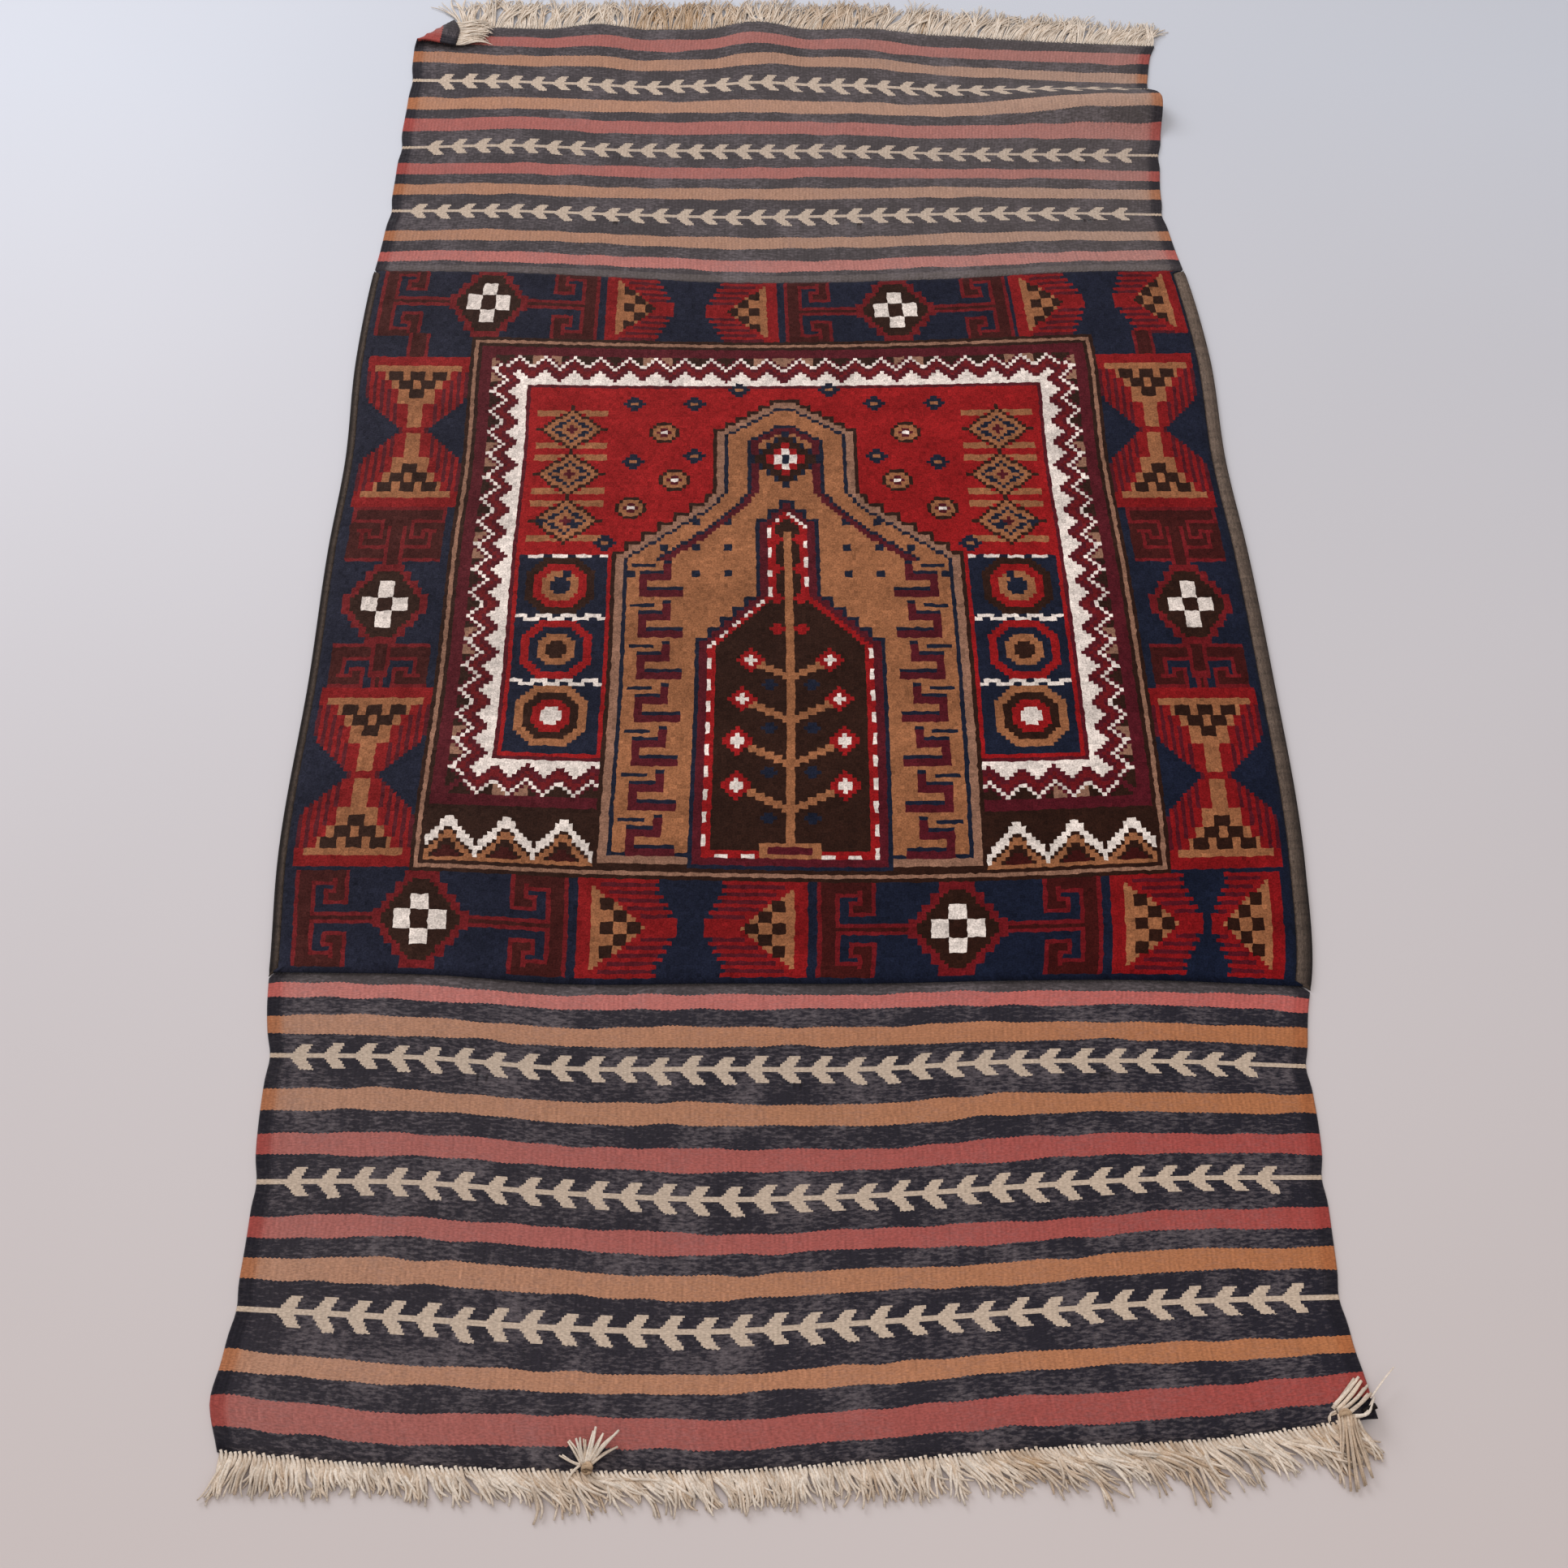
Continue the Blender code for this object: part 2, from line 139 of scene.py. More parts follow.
# The ripples: the middle of each crest, which way it runs, half its length and width, its height.
#     x        y     degrees  reach   half    rise
RIPPLES = (
    (-0.218, 0.800, 90, 0.190, 0.062, 0.0080),
    (-0.037, 0.800, 92, 0.210, 0.066, 0.0110),
    (0.095, 0.800, 88, 0.170, 0.070, 0.0045),
    (0.440, 0.628, 176, 0.290, 0.045, 0.0200),
    (-0.330, -0.640, 20, 0.080, 0.040, 0.0020),
    (0.250, -0.600, 170, 0.120, 0.045, 0.0020),
)

# Each fringe at places across the rug: how far its yarns lean to +X, in degrees, their length in
# millimetres, and how soiled they are, with painted shade where they lie in shadow, as between the
# far end's ripples.
#     x       lean  length  soil and painted shade
NEAR_FRINGE = (
    (-0.43, -60, 38, 0.10),
    (-0.40, -40, 33, 0.15),
    (-0.37, -18, 28, 0.20),
    (-0.33, -4, 23, 0.15),
    (-0.28, 8, 22, 0.10),
    (-0.22, 20, 27, 0.15),
    (-0.17, 32, 32, 0.25),
    (-0.12, 38, 31, 0.15),
    (-0.06, 20, 27, 0.10),
    (0.00, 2, 27, 0.15),
    (0.07, 8, 27, 0.20),
    (0.12, 20, 31, 0.15),
    (0.17, 50, 39, 0.35),
    (0.22, 56, 41, 0.15),
    (0.27, 48, 41, 0.40),
    (0.31, 48, 39, 0.20),
    (0.36, 56, 41, 0.15),
    (0.40, 36, 37, 0.30),
    (0.43, 18, 31, 0.30),
)
FAR_FRINGE = (
    (-0.43, -10, 52, 0.05),
    (-0.39, -16, 50, 0.05),
    (-0.34, 4, 52, 0.10),
    (-0.22, 6, 52, 0.15),
    (-0.16, 2, 50, 0.55),
    (-0.10, -3, 50, 0.60),
    (-0.04, 2, 52, 0.20),
    (0.03, 9, 52, 0.40),
    (0.12, 14, 52, 0.20),
    (0.20, 18, 50, 0.05),
    (0.28, 19, 50, 0.05),
    (0.36, 14, 46, 0.00),
    (0.43, 8, 38, 0.00),
)

# The tied yarns at the near end: three places along each one, as x, y and the height over the
# cloth beside them, and then its radius, all in millimetres, and how soiled it is.
TIED_YARNS = (
    ((-149, -794, 2), (-155, -786, 5), (-160, -779, 5), 1.3, 0.2),
    ((-149, -793, 3), (-151, -784, 7), (-153, -776, 6), 1.5, 0.1),
    ((-150, -795, 2), (-157, -792, 4), (-165, -788, 3), 1.1, 0.2),
    ((-147, -793, 3), (-147, -785, 6), (-149, -777, 6), 1.2, 0.3),
    ((-146, -793, 4), (-143, -782, 9), (-141, -771, 8), 1.7, 0.0),
    ((-145, -793, 4), (-139, -783, 8), (-136, -774, 6), 1.4, 0.1),
    ((-144, -794, 3), (-134, -782, 8), (-124, -772, 6), 1.5, 0.1),
    ((-144, -795, 3), (-135, -788, 6), (-126, -782, 3), 1.5, 0.2),
    ((-152, -795, 2), (-156, -799, 2), (-160, -805, -1), 1.3, 0.2),
    ((398, -755, 1), (408, -744, 3), (418, -734, 1), 2.1, 0.2),
    ((400, -757, 1), (411, -747, 3), (421, -737, 1), 2.1, 0.3),
    ((402, -759, 1), (413, -750, 3), (423, -741, 1), 2.1, 0.2),
    ((405, -761, 2), (415, -754, 4), (425, -746, 2), 2.1, 0.3),
    ((408, -762, 2), (418, -761, 4), (426, -750, 3), 1.7, 0.0),
    ((399, -758, 1), (394, -761, 2), (393, -766, 1), 1.1, 0.3),
    ((425, -749, 3), (435, -738, 4), (444, -728, 6), 0.6, 0.0),
    ((401, -760, 3), (401, -776, -1), (397, -806, -6), 1.5, 0.5),
    ((403, -760, 3), (404, -776, 0), (403, -811, -6), 1.5, 0.6),
    ((405, -760, 4), (406, -776, 0), (408, -812, -6), 1.6, 0.5),
    ((407, -760, 3), (408, -775, -1), (413, -808, -6), 1.5, 0.6),
    ((409, -761, 2), (411, -774, -1), (419, -803, -6), 1.5, 0.5),
)
# The curl that lifts them is read at least this far inside the cloth, and their middles stay this
# far over the floor.
TIED_INSIDE = 0.031
TIED_LOWEST = 0.0012
# The knots round them, as x, y and height over the cloth, with the radius of their loops and of
# their yarn, and the end of the edge's cord: three places along it and its radius.
KNOTS_OF_YARN = ((-146, -797, 3), (404, -761, 3))
KNOT_LOOP = 0.0034
KNOT_YARN = 0.0016
CORD_END = ((418, -759, 1), (422, -757, 2), (427, -755, 2), 2.4)


def spans(keys, at):
    """For each place, the key before it, its share of the way to the next one, and their gap."""
    at = np.clip(np.asarray(at, float), keys[0], keys[-1])
    low = np.clip(np.searchsorted(keys, at, side="right") - 1, 0, len(keys) - 2)
    span = keys[low + 1] - keys[low]
    return low, (at - keys[low]) / span, span


def curve_between(f, span, start, end, start_slope, end_slope):
    """A smooth curve from start to end with the given slopes, at a share f of the way."""
    first = (2 * f**3 - 3 * f**2 + 1) * start + (f**3 - 2 * f**2 + f) * span * start_slope
    return first + (3 * f**2 - 2 * f**3) * end + (f**3 - f**2) * span * end_slope


def smooth_read(table, at):
    """Reads a table's columns at places along its first one, on a smooth curve through its rows."""
    rows = np.array(table, float)
    keys, values = rows[:, 0], rows[:, 1:]
    slopes = np.gradient(values, keys, axis=0)
    low, f, span = spans(keys, at)
    f, span = f[:, None], span[:, None]
    return curve_between(f, span, values[low], values[low + 1], slopes[low], slopes[low + 1])


def ease(value):
    """A soft step from 0 to 1."""
    value = np.clip(value, 0, 1)
    return value * value * (3 - 2 * value)


def in_pile(along, step):
    """1 in the knotted middle and 0 in the flat-woven ends, with a soft step between them."""
    near = ease((along - PILE_NEAR) / step + 0.5)
    far = ease((PILE_FAR - along) / step + 0.5)
    return near * far


def bow(x, along):
    """How far the weft that crosses the rug at each place is carried along Y."""
    keys = np.array(BOW_ACROSS)
    rows = smooth_read(BOW, along)
    slopes = np.gradient(rows, keys, axis=1)
    low, f, span = spans(keys, x)
    at = np.arange(len(low))
    ends = rows[at, low], rows[at, low + 1], slopes[at, low], slopes[at, low + 1]
    return curve_between(f, span, *ends) / 1000


def lift(x, y):
    """How far the ripples and the curled corner raise the cloth off the floor."""
    height = np.zeros(len(x))
    for middle_x, middle_y, degrees, reach, half, rise in RIPPLES:
        turn = math.radians(degrees)
        run = (x - middle_x) * math.cos(turn) + (y - middle_y) * math.sin(turn)
        side = (y - middle_y) * math.cos(turn) - (x - middle_x) * math.sin(turn)
        crest = np.cos(np.clip(run / reach, -1, 1) * math.pi / 2)
        slope = np.cos(np.clip(side / half, -1, 1) * math.pi / 2)
        height = np.maximum(height, rise * crest**2 * slope**2)
    beyond = ((x - CURL_POINT[0]) - (y - CURL_POINT[1])) / math.sqrt(2)
    return height + CURL_RATE * np.clip(beyond, 0, None) ** 2


def fold(x, y, z, thick):
    """Turns what lies beyond the fold line up and over the cloth, round a soft roll."""
    start = np.array(FOLD_START)
    along = np.array(FOLD_END) - start
    along /= np.linalg.norm(along)
    out = np.array((-along[1], along[0]))
    beyond = (x - start[0]) * out[0] + (y - start[1]) * out[1]
    roll = FOLD_RADIUS + KILIM_THICK / 2
    radius = FOLD_RADIUS + KILIM_THICK - thick
    axis = z + KILIM_THICK + FOLD_RADIUS
    angle = np.clip(beyond / roll, 0, math.pi)
    past = np.clip(beyond - math.pi * roll, 0, None)
    moved = radius * np.sin(angle) - past
    turned = beyond > 0
    shift = np.where(turned, moved - beyond, 0)
    height = np.where(turned, axis - radius * np.cos(angle) - FLAP_SINK * past, z + thick)
    return x + shift * out[0], y + shift * out[1], height


def place(across, along, thick, inset=True):
    """Points of the lying rug, from their place across it (-1 to 1), along it and up through it.

    With inset, the cloth's edge stands back along the pile, to leave room for the selvages."""
    across = np.asarray(across, float)
    along = np.asarray(along, float)
    thick = np.asarray(thick, float)
    left, right = smooth_read(EDGES, along).T
    if inset:
        left = left + SELVAGE_WIDTH["left"] * in_pile(along, SELVAGE_TAPER)
        right = right - SELVAGE_WIDTH["right"] * in_pile(along, SELVAGE_TAPER)
    x = left + (right - left) * (across + 1) / 2
    y = along + bow(x, along)
    grown = ease((y - FOLD_START[1]) / FLAP_GROWTH[1]) * ease((FOLD_END[0] - x) / FLAP_GROWTH[0])
    y += FLAP_REACH * grown
    return np.column_stack(fold(x, y, lift(x, y), thick))


# ---------------------------------------------------------------------------------------------
# Colours, materials and meshes.

# Each piece's random draws start from this number and a number of the piece's own.
SEED = 11


def linear(code):
    """The linear colour of an sRGB hex code."""
    parts = [int(code[k:k + 2], 16) / 255 for k in (1, 3, 5)]
    return [p / 12.92 if p <= 0.04045 else ((p + 0.055) / 1.055) ** 2.4 for p in parts]


def colour_setting(name, description, code):
    """A colour that a user can change, with its sRGB hex code as the default."""
    return FloatVectorProperty(
        name=name, description=description, subtype="COLOR", min=0, max=1, default=linear(code)
    )


def length_setting(name, description, metres):
    """A length that a user can change."""
    return FloatProperty(
        name=name, description=description, unit="LENGTH", min=0, default=metres, precision=4
    )


def add_node(tree, kind, inputs=None, **settings):
    """Adds a node with its settings. Each input is a number, a colour or another node's output."""
    node = tree.nodes.new(kind)
    for key, value in settings.items():
        setattr(node, key, value)
    for key, value in (inputs or {}).items():
        if isinstance(value, bpy.types.NodeSocket):
            tree.links.new(value, node.inputs[key])
        else:
            node.inputs[key].default_value = value
    return node


def new_material(name):
    """An empty node material, its tree and its shader."""
    material = bpy.data.materials.new(name)
    material.use_nodes = True
    return material, material.node_tree, material.node_tree.nodes["Principled BSDF"]


def grain(tree, vector, size, detail, heights, shades, rough=0.5, **settings):
    """Noise with grains of this size in metres, as it is and spread from heights to shades."""
    noise = add_node(
        tree, "ShaderNodeTexNoise",
        {"Vector": vector, "Scale": 1 / size, "Detail": detail, "Roughness": rough}, **settings,
    ).outputs["Fac"]
    spread = add_node(
        tree, "ShaderNodeMapRange",
        {"Value": noise, "From Min": heights[0], "From Max": heights[1], "To Min": shades[0],
         "To Max": shades[1]},
    )
    return noise, spread.outputs[0]


def finish_shader(tree, shader, colour, shade, bump, values):
    """Gives a shader its colour times its shade, its bump if it has one, and its other values."""
    toned = add_node(tree, "ShaderNodeVectorMath", {0: colour, "Scale": shade}, operation="SCALE")
    tree.links.new(toned.outputs[0], shader.inputs["Base Color"])
    if bump:
        relief = add_node(tree, "ShaderNodeBump", bump)
        tree.links.new(relief.outputs[0], shader.inputs["Normal"])
    for name, value in values.items():
        shader.inputs[name].default_value = value


def add_object(name, data):
    """Adds an object with this mesh, light or camera to the scene."""
    item = bpy.data.objects.new(name, data)
    bpy.context.scene.collection.objects.link(item)
    return item


def finish_piece(name, mesh, material, nodes):
    """Makes the mesh a piece of the rug that rides on its one body and stands for the nodes."""
    mesh.materials.append(material)
    piece = add_object(name, mesh)
    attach(piece, "root")
    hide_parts(*nodes)


def smooth_mesh(bm, name):
    """Turns a bmesh into a smooth-shaded mesh, and frees it."""
    mesh = bpy.data.meshes.new(name)
    bm.to_mesh(mesh)
    bm.free()
    mesh.shade_smooth()
    return mesh


def mesh_points(mesh):
    """The places of a mesh's vertices, as rows."""
    points = np.empty(len(mesh.vertices) * 3)
    mesh.vertices.foreach_get("co", points)
    return points.reshape(-1, 3)


def move_points(mesh, points):
    """Gives each vertex of a mesh its new place."""
    mesh.vertices.foreach_set("co", np.asarray(points, np.float32).ravel())
    mesh.update()


def face_middles(mesh):
    """The middle of each of a mesh's faces."""
    middles = np.empty(len(mesh.polygons) * 3)
    mesh.polygons.foreach_get("center", middles)
    return middles.reshape(-1, 3)


def per_corner(mesh, values):
    """Spreads one value for each face over that face's corners."""
    counts = np.empty(len(mesh.polygons), np.int32)
    mesh.polygons.foreach_get("loop_total", counts)
    return np.repeat(values, counts, axis=0)


def paint_corners(mesh, rgba):
    """Stores a colour for each corner, with the share of pale flecks as its alpha."""
    layer = mesh.color_attributes.new("yarn_colour", "FLOAT_COLOR", "CORNER")
    layer.data.foreach_set("color", np.asarray(rgba, np.float32).ravel())


def paint_cells(mesh, colours):
    """Paints each cell of a chart's slab, front, back and edges, from rows of cells' colours."""
    rows, columns = colours.shape[:2]
    middles = face_middles(mesh)
    column = np.clip(middles[:, 0].astype(int), 0, columns - 1)
    row = np.clip(middles[:, 1].astype(int), 0, rows - 1)
    paint_corners(mesh, per_corner(mesh, colours[row, column]))


def lay_uv(mesh, uv_of_points):
    """Stores a map in metres, from a place for each vertex."""
    corners = np.empty(len(mesh.loops), np.int32)
    mesh.loops.foreach_get("vertex_index", corners)
    layer = mesh.uv_layers.new(name="weave")
    layer.uv.foreach_set("vector", np.asarray(uv_of_points, np.float32)[corners].ravel())


def chart_slab(name, columns, rows):
    """A closed slab of cells whose points still stand at (column, row, 0 below or 1 above)."""
    bm = bmesh.new()
    bmesh.ops.create_grid(bm, x_segments=columns, y_segments=rows, size=0.5)
    for vert in bm.verts:
        vert.co = (round((vert.co.x + 0.5) * columns), round((vert.co.y + 0.5) * rows), 0)
    grown = bmesh.ops.extrude_face_region(bm, geom=bm.faces[:])
    for part in grown["geom"]:
        if isinstance(part, bmesh.types.BMVert):
            part.co.z = 1
    bmesh.ops.recalc_face_normals(bm, faces=bm.faces)
    return smooth_mesh(bm, name)


def slow_noise(random, places, longest, waves):
    """A smooth random line over the places, about -1 to 1, from waves no longer than longest."""
    line = np.zeros(len(places))
    for k in range(waves):
        length = longest / (1 + k)
        line += np.sin(places / length * 2 * math.pi + random.uniform(0, 7)) / (1 + k) ** 0.5
    return line / waves**0.5


# ---------------------------------------------------------------------------------------------
# The knotted middle's chart. A letter is a dye and a dot lets the ground show. Row 0 is the
# lowest, next to the near flat weave.

KNOTS = 230
KNOT_ROWS = 212

DYES = {
    "n": "navy",
    "r": "dark_red",
    "R": "bright_red",
    "t": "madder",
    "m": "maroon",
    "d": "oxblood",
    "c": "camel",
    "b": "brown",
    "w": "ivory",
    "g": "guard",
}

# In knots: the border's width, the lowest and highest row of the guard line, the row where the
# frame's own bands start, how far the field reaches from the rug's middle, and how far from it the
# stacked medallions' middles are.
BORDER = 31
GUARD_ROWS = (27, 187)
FRAME_LOW = 42
FIELD_HALF = 67.5
FIELD_COLUMN = 56.5
# How many knots to the right the frame's left and right sides stand of their even places, at the
# near end and at the far end.
FRAME_DRIFT = {"left": (-1.8, 0.0), "right": (2.8, 1.9)}
# The length of a tooth of the frame's zigzags, where they run across and along the rug, and of the
# bold zigzag below the frame.
ZIGZAG_ACROSS = 7.5
ZIGZAG_ALONG = 7.25
FOOT_TOOTH = 13

# The upper half of a hooked motif, down to the middle of its bar. The bar runs on to the right.
HOOK = (
    "rrrrrrrrrrrrr",
    "rdddddddddddr",
    "rdddddddddddr",
    "rddddddddrddr",
    "rdddrrrrrrddr",
    "rdddr....rddr",
    "rdddr..rrrddr",
    "rdddr..rddddr",
    "rdddr..rddddr",
    "rdddr..rrrrrr",
    "rdddr........",
    "rdddr........",
    "rdddrrrrrrrrr",
    "rdddddddddddd",
)


def motif_from(lines):
    """A motif from its rows as text, the top row first."""
    return np.array([list(line) for line in reversed(lines)])


def stamp(chart, motif, left, low):
    """Lays a motif on the chart, with its first column and row at the given knot."""
    part = chart[low:low + motif.shape[0], left:left + motif.shape[1]]
    motif = motif[:part.shape[0], :part.shape[1]]
    part[motif != "."] = motif[motif != "."]


def middle_places(columns, rows):
    """How far each cell of a motif is from its middle, across and up."""
    x = np.arange(columns) - (columns - 1) / 2
    y = np.arange(rows) - (rows - 1) / 2
    return np.meshgrid(x, y)


def hooked(tall):
    """A hooked motif, its two arms round a bar that leaves to the right."""
    half = motif_from(HOOK)
    whole = np.concatenate([half[:0:-1], half])
    spare = len(whole) - tall
    return whole[spare // 2:spare // 2 + tall] if spare > 0 else whole


def shrink(shape, knots):
    """The shape without its outermost knots."""
    for _ in range(knots):
        wide = np.pad(shape, 1)
        across = wide[1:-1, :-2] & wide[1:-1, 2:]
        shape = shape & across & wide[:-2, 1:-1] & wide[2:, 1:-1]
    return shape


def fill_rings(chart, size, rings):
    """Fills nested shapes, the widest first: where size is under each limit, with its dye."""
    for limit, dye in rings:
        chart[size < limit] = dye


def rosette(tall):
    """A stepped diamond with a flower of four square petals."""
    x, y = np.abs(middle_places(22, tall))
    motif = np.full(x.shape, ".")
    whole = x < np.select([y < 2.6, y < 4.6, y < 6.6, y < 9.6], [11, 9.2, 7.6, 5.6], 3.6)
    motif[whole] = "r"
    motif[shrink(whole, 2)] = "b"
    motif[(x < 2) & (y > 2) & (y < 6.6)] = "w"
    motif[(y < 2.2) & (x > 2) & (x < 6)] = "w"
    return motif


def checked(motif, x, y, edge):
    """Fills a motif's triangle with camel and brown checks. edge is half its width at each knot."""
    motif[(x < edge + 1.6) | (y < 3)] = "t"
    motif[(x < edge) & (y > 2)] = "c"
    for low, middles in ((5, (0, 6)), (8, (3,)), (11, (0,))):
        for middle in middles:
            motif[(y >= low) & (y < low + 3) & (np.abs(x - middle) < 1.6) & (x < edge)] = "b"
    return motif


def standing_triangle():
    """A triangle, point up, that narrows in steps to a long neck, in a red ground of its own."""
    x = np.abs(middle_places(28, 25)[0])
    y = np.arange(25)[:, None] + 0 * x
    ground = (y < 14) | (x < 13.5 - (y - 14) / 1.1)
    motif = np.full(x.shape, ".")
    motif[ground] = "m"
    motif[ground & ((x - 0.5) % 2 == 0)] = "t"
    edge = np.select([y < 5, y < 8, y < 11, y < 16, y < 24], [12, 9, 7, 5, 2], 0)
    return checked(motif, x, y, edge)


def lying_triangle(tall, reach):
    """A triangle, point to the right, with a comb of red rows that reaches past its point."""
    x = np.abs(middle_places(tall, reach)[0])
    y = np.arange(reach)[:, None] + 0 * x
    tooth = x % 2 == 0
    comb = y < reach - 0.4 * x - np.where(tooth, 0, 1.5)
    motif = np.full(x.shape, ".")
    motif[comb] = "m"
    motif[comb & tooth] = "t"
    edge = tall // 2 - 1.2 - 0.94 * (y - 3)
    return np.rot90(checked(motif, x, y, np.where(y < 15, edge, 0)))


def draw_border(chart):
    """The main border: rosettes with their hooks, and triangles, on a navy ground."""
    # Each lying triangle: its first knot, its reach, and 1 if it points right or -1 if left.
    near = ((68, 22, 1), (96, 23, -1), (186, 21, 1), (209, 18, -1))
    far = ((66, 19, 1), (94, 20, -1), (180, 20, 1), (209, 20, -1))
    for low, tall, hooks, middles, triangles in (
        (1, 25, (3, 53, 121, 171), (33, 152), near),
        (189, 23, (2, 51, 116, 166), (33, 147), far),
    ):
        bar = low + tall // 2
        for left, reach, side in triangles:
            stamp(chart, lying_triangle(tall, reach)[:, ::side], left, low)
        for start, middle, end in zip(hooks[::2], middles, hooks[1::2]):
            chart[bar - 1:bar + 2, start + 12:end + 2] = "r"
            chart[bar, start + 12:end + 2] = "d"
            stamp(chart, hooked(tall), start, low)
            stamp(chart, hooked(tall)[:, ::-1], end, low)
            stamp(chart, rosette(tall), middle - 11, low)
    # Up each side: a rosette between hooked motifs, and a pair of triangles below and above.
    turned = np.rot90(hooked(25))
    for side in (1, -1):
        edge = chart[:, ::side]
        edge[116:132, 3:28] = "r"
        edge[118:131, 4:27] = "d"
        edge[182:190, 12:18] = "r"
        edge[182:190, 13:17] = "d"
        stamp(edge, turned, 3, 77)
        stamp(edge, turned[::-1], 3, 115)
        edge[80:126, 13:18] = "r"
        edge[82:130, 14:17] = "d"
        for low in (27, 132):
            stamp(edge, standing_triangle()[::-1], 2, low + 25)
            stamp(edge, standing_triangle(), 2, low)
        stamp(edge, rosette(24), 4, 90)


def draw_frame(chart):
    """The guard line, and inside it a maroon band, two zigzags and a white sawtooth."""
    x, y = np.meshgrid(np.arange(KNOTS) - (KNOTS - 1) / 2, np.arange(KNOT_ROWS))
    side = KNOTS / 2 - BORDER - 0.5 - np.abs(x)
    depth = np.minimum(side, np.minimum(y - GUARD_ROWS[0], GUARD_ROWS[1] - y))
    chart[depth >= -1] = "b"
    chart[depth >= 0] = "g"
    chart[depth >= 1] = "b"
    ends = np.minimum(y - FRAME_LOW, GUARD_ROWS[1] - y)
    deep = np.minimum(side, ends)
    run = np.where(side < ends, y / ZIGZAG_ALONG, (np.abs(x) - 0.5) / ZIGZAG_ACROSS)
    wave = np.abs(run % 1 - 0.5) * ZIGZAG_ACROSS
    line = deep - wave
    chart[deep >= 2] = "m"
    chart[(deep >= 5) & (line < 5)] = "m"
    patch = run.astype(int) % 4
    small = (deep >= 5) & (line < 3.8)
    chart[small] = "b"
    chart[small & (patch == 0)] = "g"
    # From here on the bands follow the zigzag: how deep each one starts, and its dye.
    for distance, dye in ((4.6, "w"), (5.7, "m"), (6.6, "r"), (8, "m"), (9.4, "w")):
        chart[(deep >= 5) & (line >= distance)] = dye
    chart[deep >= 15] = "m"
    chart[deep >= 16] = "R"
    return x, y


def draw_foot(chart, x, y):
    """The strips below the frame: a bold white zigzag over small triangles."""
    strip = (y >= 29) & (y < FRAME_LOW + 2) & (np.abs(x) < KNOTS / 2 - BORDER - 2)
    chart[strip] = "b"
    run = (np.abs(x) - 44.5) % FOOT_TOOTH
    top = FRAME_LOW - 1 - 1.25 * np.abs(run - FOOT_TOOTH / 2)
    white = strip & (y <= top) & (y > top - 3)
    below = strip & (y <= top - 4)
    chart[white] = "w"
    chart[below & (y > top - 6)] = "c"
    chart[below & (y <= top - 7.5)] = "d"
    chart[strip & (y == 29)] = "c"


def stepped(x, y, steps):
    """A shape symmetrical about the middle, from steps of how high each goes and how wide it is."""
    shape = np.zeros(x.shape, bool)
    for low, high, half in steps:
        shape |= (y >= low) & (y < high) & (np.abs(x) < half)
    return shape


def draw_niche(chart, x, y):
    """The field's stepped niche: a camel band with a meander, round a brown ground."""
    away = np.abs(x)
    shoulders = [(29, 118, 44)] + [(118 + 3 * k, 121 + 3 * k, 41 - 4 * k) for k in range(6)]
    head = [(133, 158, 19)] + [(158 + 2 * k, 160 + 2 * k, 16 - 3 * k) for k in range(5)]
    niche = stepped(x, y, shoulders + head)
    for knots, dye in ((0, "b"), (1, "g"), (3, "n"), (4, "c")):
        chart[shrink(niche, knots)] = dye
    inner = [(29, 92, 23)] + [(92 + 3 * k, 95 + 3 * k, 20 - 3 * k) for k in range(4)]
    inner += [(104, 128, 8), (128, 131, 5), (131, 134, 2)]
    ground = stepped(x, y, inner)
    for knots, dye in ((0, "n"), (1, "m"), (3, "w"), (4, "R"), (5, "b")):
        part = shrink(ground, knots)
        chart[part] = dye
        if dye == "w":
            chart[part & ((y + x) // 3 % 2 == 0)] = "R"
    # The meander up the camel band: its hooks, and a navy edge over them.
    climb = (y - 32) % 12
    meander = (y > 31) & (y < 116)
    hook = (climb < 2) & (away > 26) & (away < 37)
    hook |= (away > 35) & (away < 37) & (climb < 7)
    hook |= (climb > 4) & (climb < 7) & (away > 29) & (away < 37)
    hook |= (away > 29) & (away < 31) & (climb > 4) & (climb < 10)
    chart[meander & hook] = "m"
    edge = np.roll(hook, 1, 0) & ~hook
    chart[meander & edge] = "n"
    chart[meander & (away > 33) & (away < 39.5) & (climb == 9)] = "n"
    # Dots above it, the ring inside the niche's head, and the stepped rosette there.
    dot = (away + 2) % 8 // 2 + (y - 118) % 8 // 2
    chart[(dot == 0) & (y > 104) & (y < 130) & (away > 9) & (chart == "c")] = "n"
    ring = shrink(niche, 9) & ~shrink(niche, 12) & (y > 114)
    chart[ring] = "n"
    chart[ring & shrink(niche, 10)] = "m"
    stepped_away = away + np.floor(np.abs(y - 147) / 2) * 2
    fill_rings(chart, stepped_away, ((9, "n"), (8, "b"), (5.5, "R"), (3, "w"), (1.2, "n")))


def draw_tree(chart, x, y):
    """The tree in the niche: a stem with stepped boughs that end in red flowers."""
    stem = (np.abs(x) < 1) & (y > 33) & (y < 124)
    chart[stem] = "c"
    for low, reach in ((44, 13), (56, 13), (68, 12), (80, 10)):
        bough = np.abs(y - low - np.abs(x) * 0.5) < 1
        chart[bough & (np.abs(x) < reach)] = "c"
        flower = np.abs(np.abs(x) - reach + 0.5) + np.abs(y - low - reach * 0.5)
        fill_rings(chart, flower, ((4, "R"), (1.6, "w")))
        chart[np.abs(np.abs(x) - 5) + np.abs(y - low + 2) < 2] = "n"
    for low in (94, 103, 112, 121):
        chart[np.abs(np.abs(x) - 3) + np.abs(y - low) < 2.5] = "R"
    chart[(np.abs(x) < 7) & (y > 31) & (y < 36)] = "c"
    chart[(np.abs(x) < 5) & (y > 32) & (y < 35)] = "m"


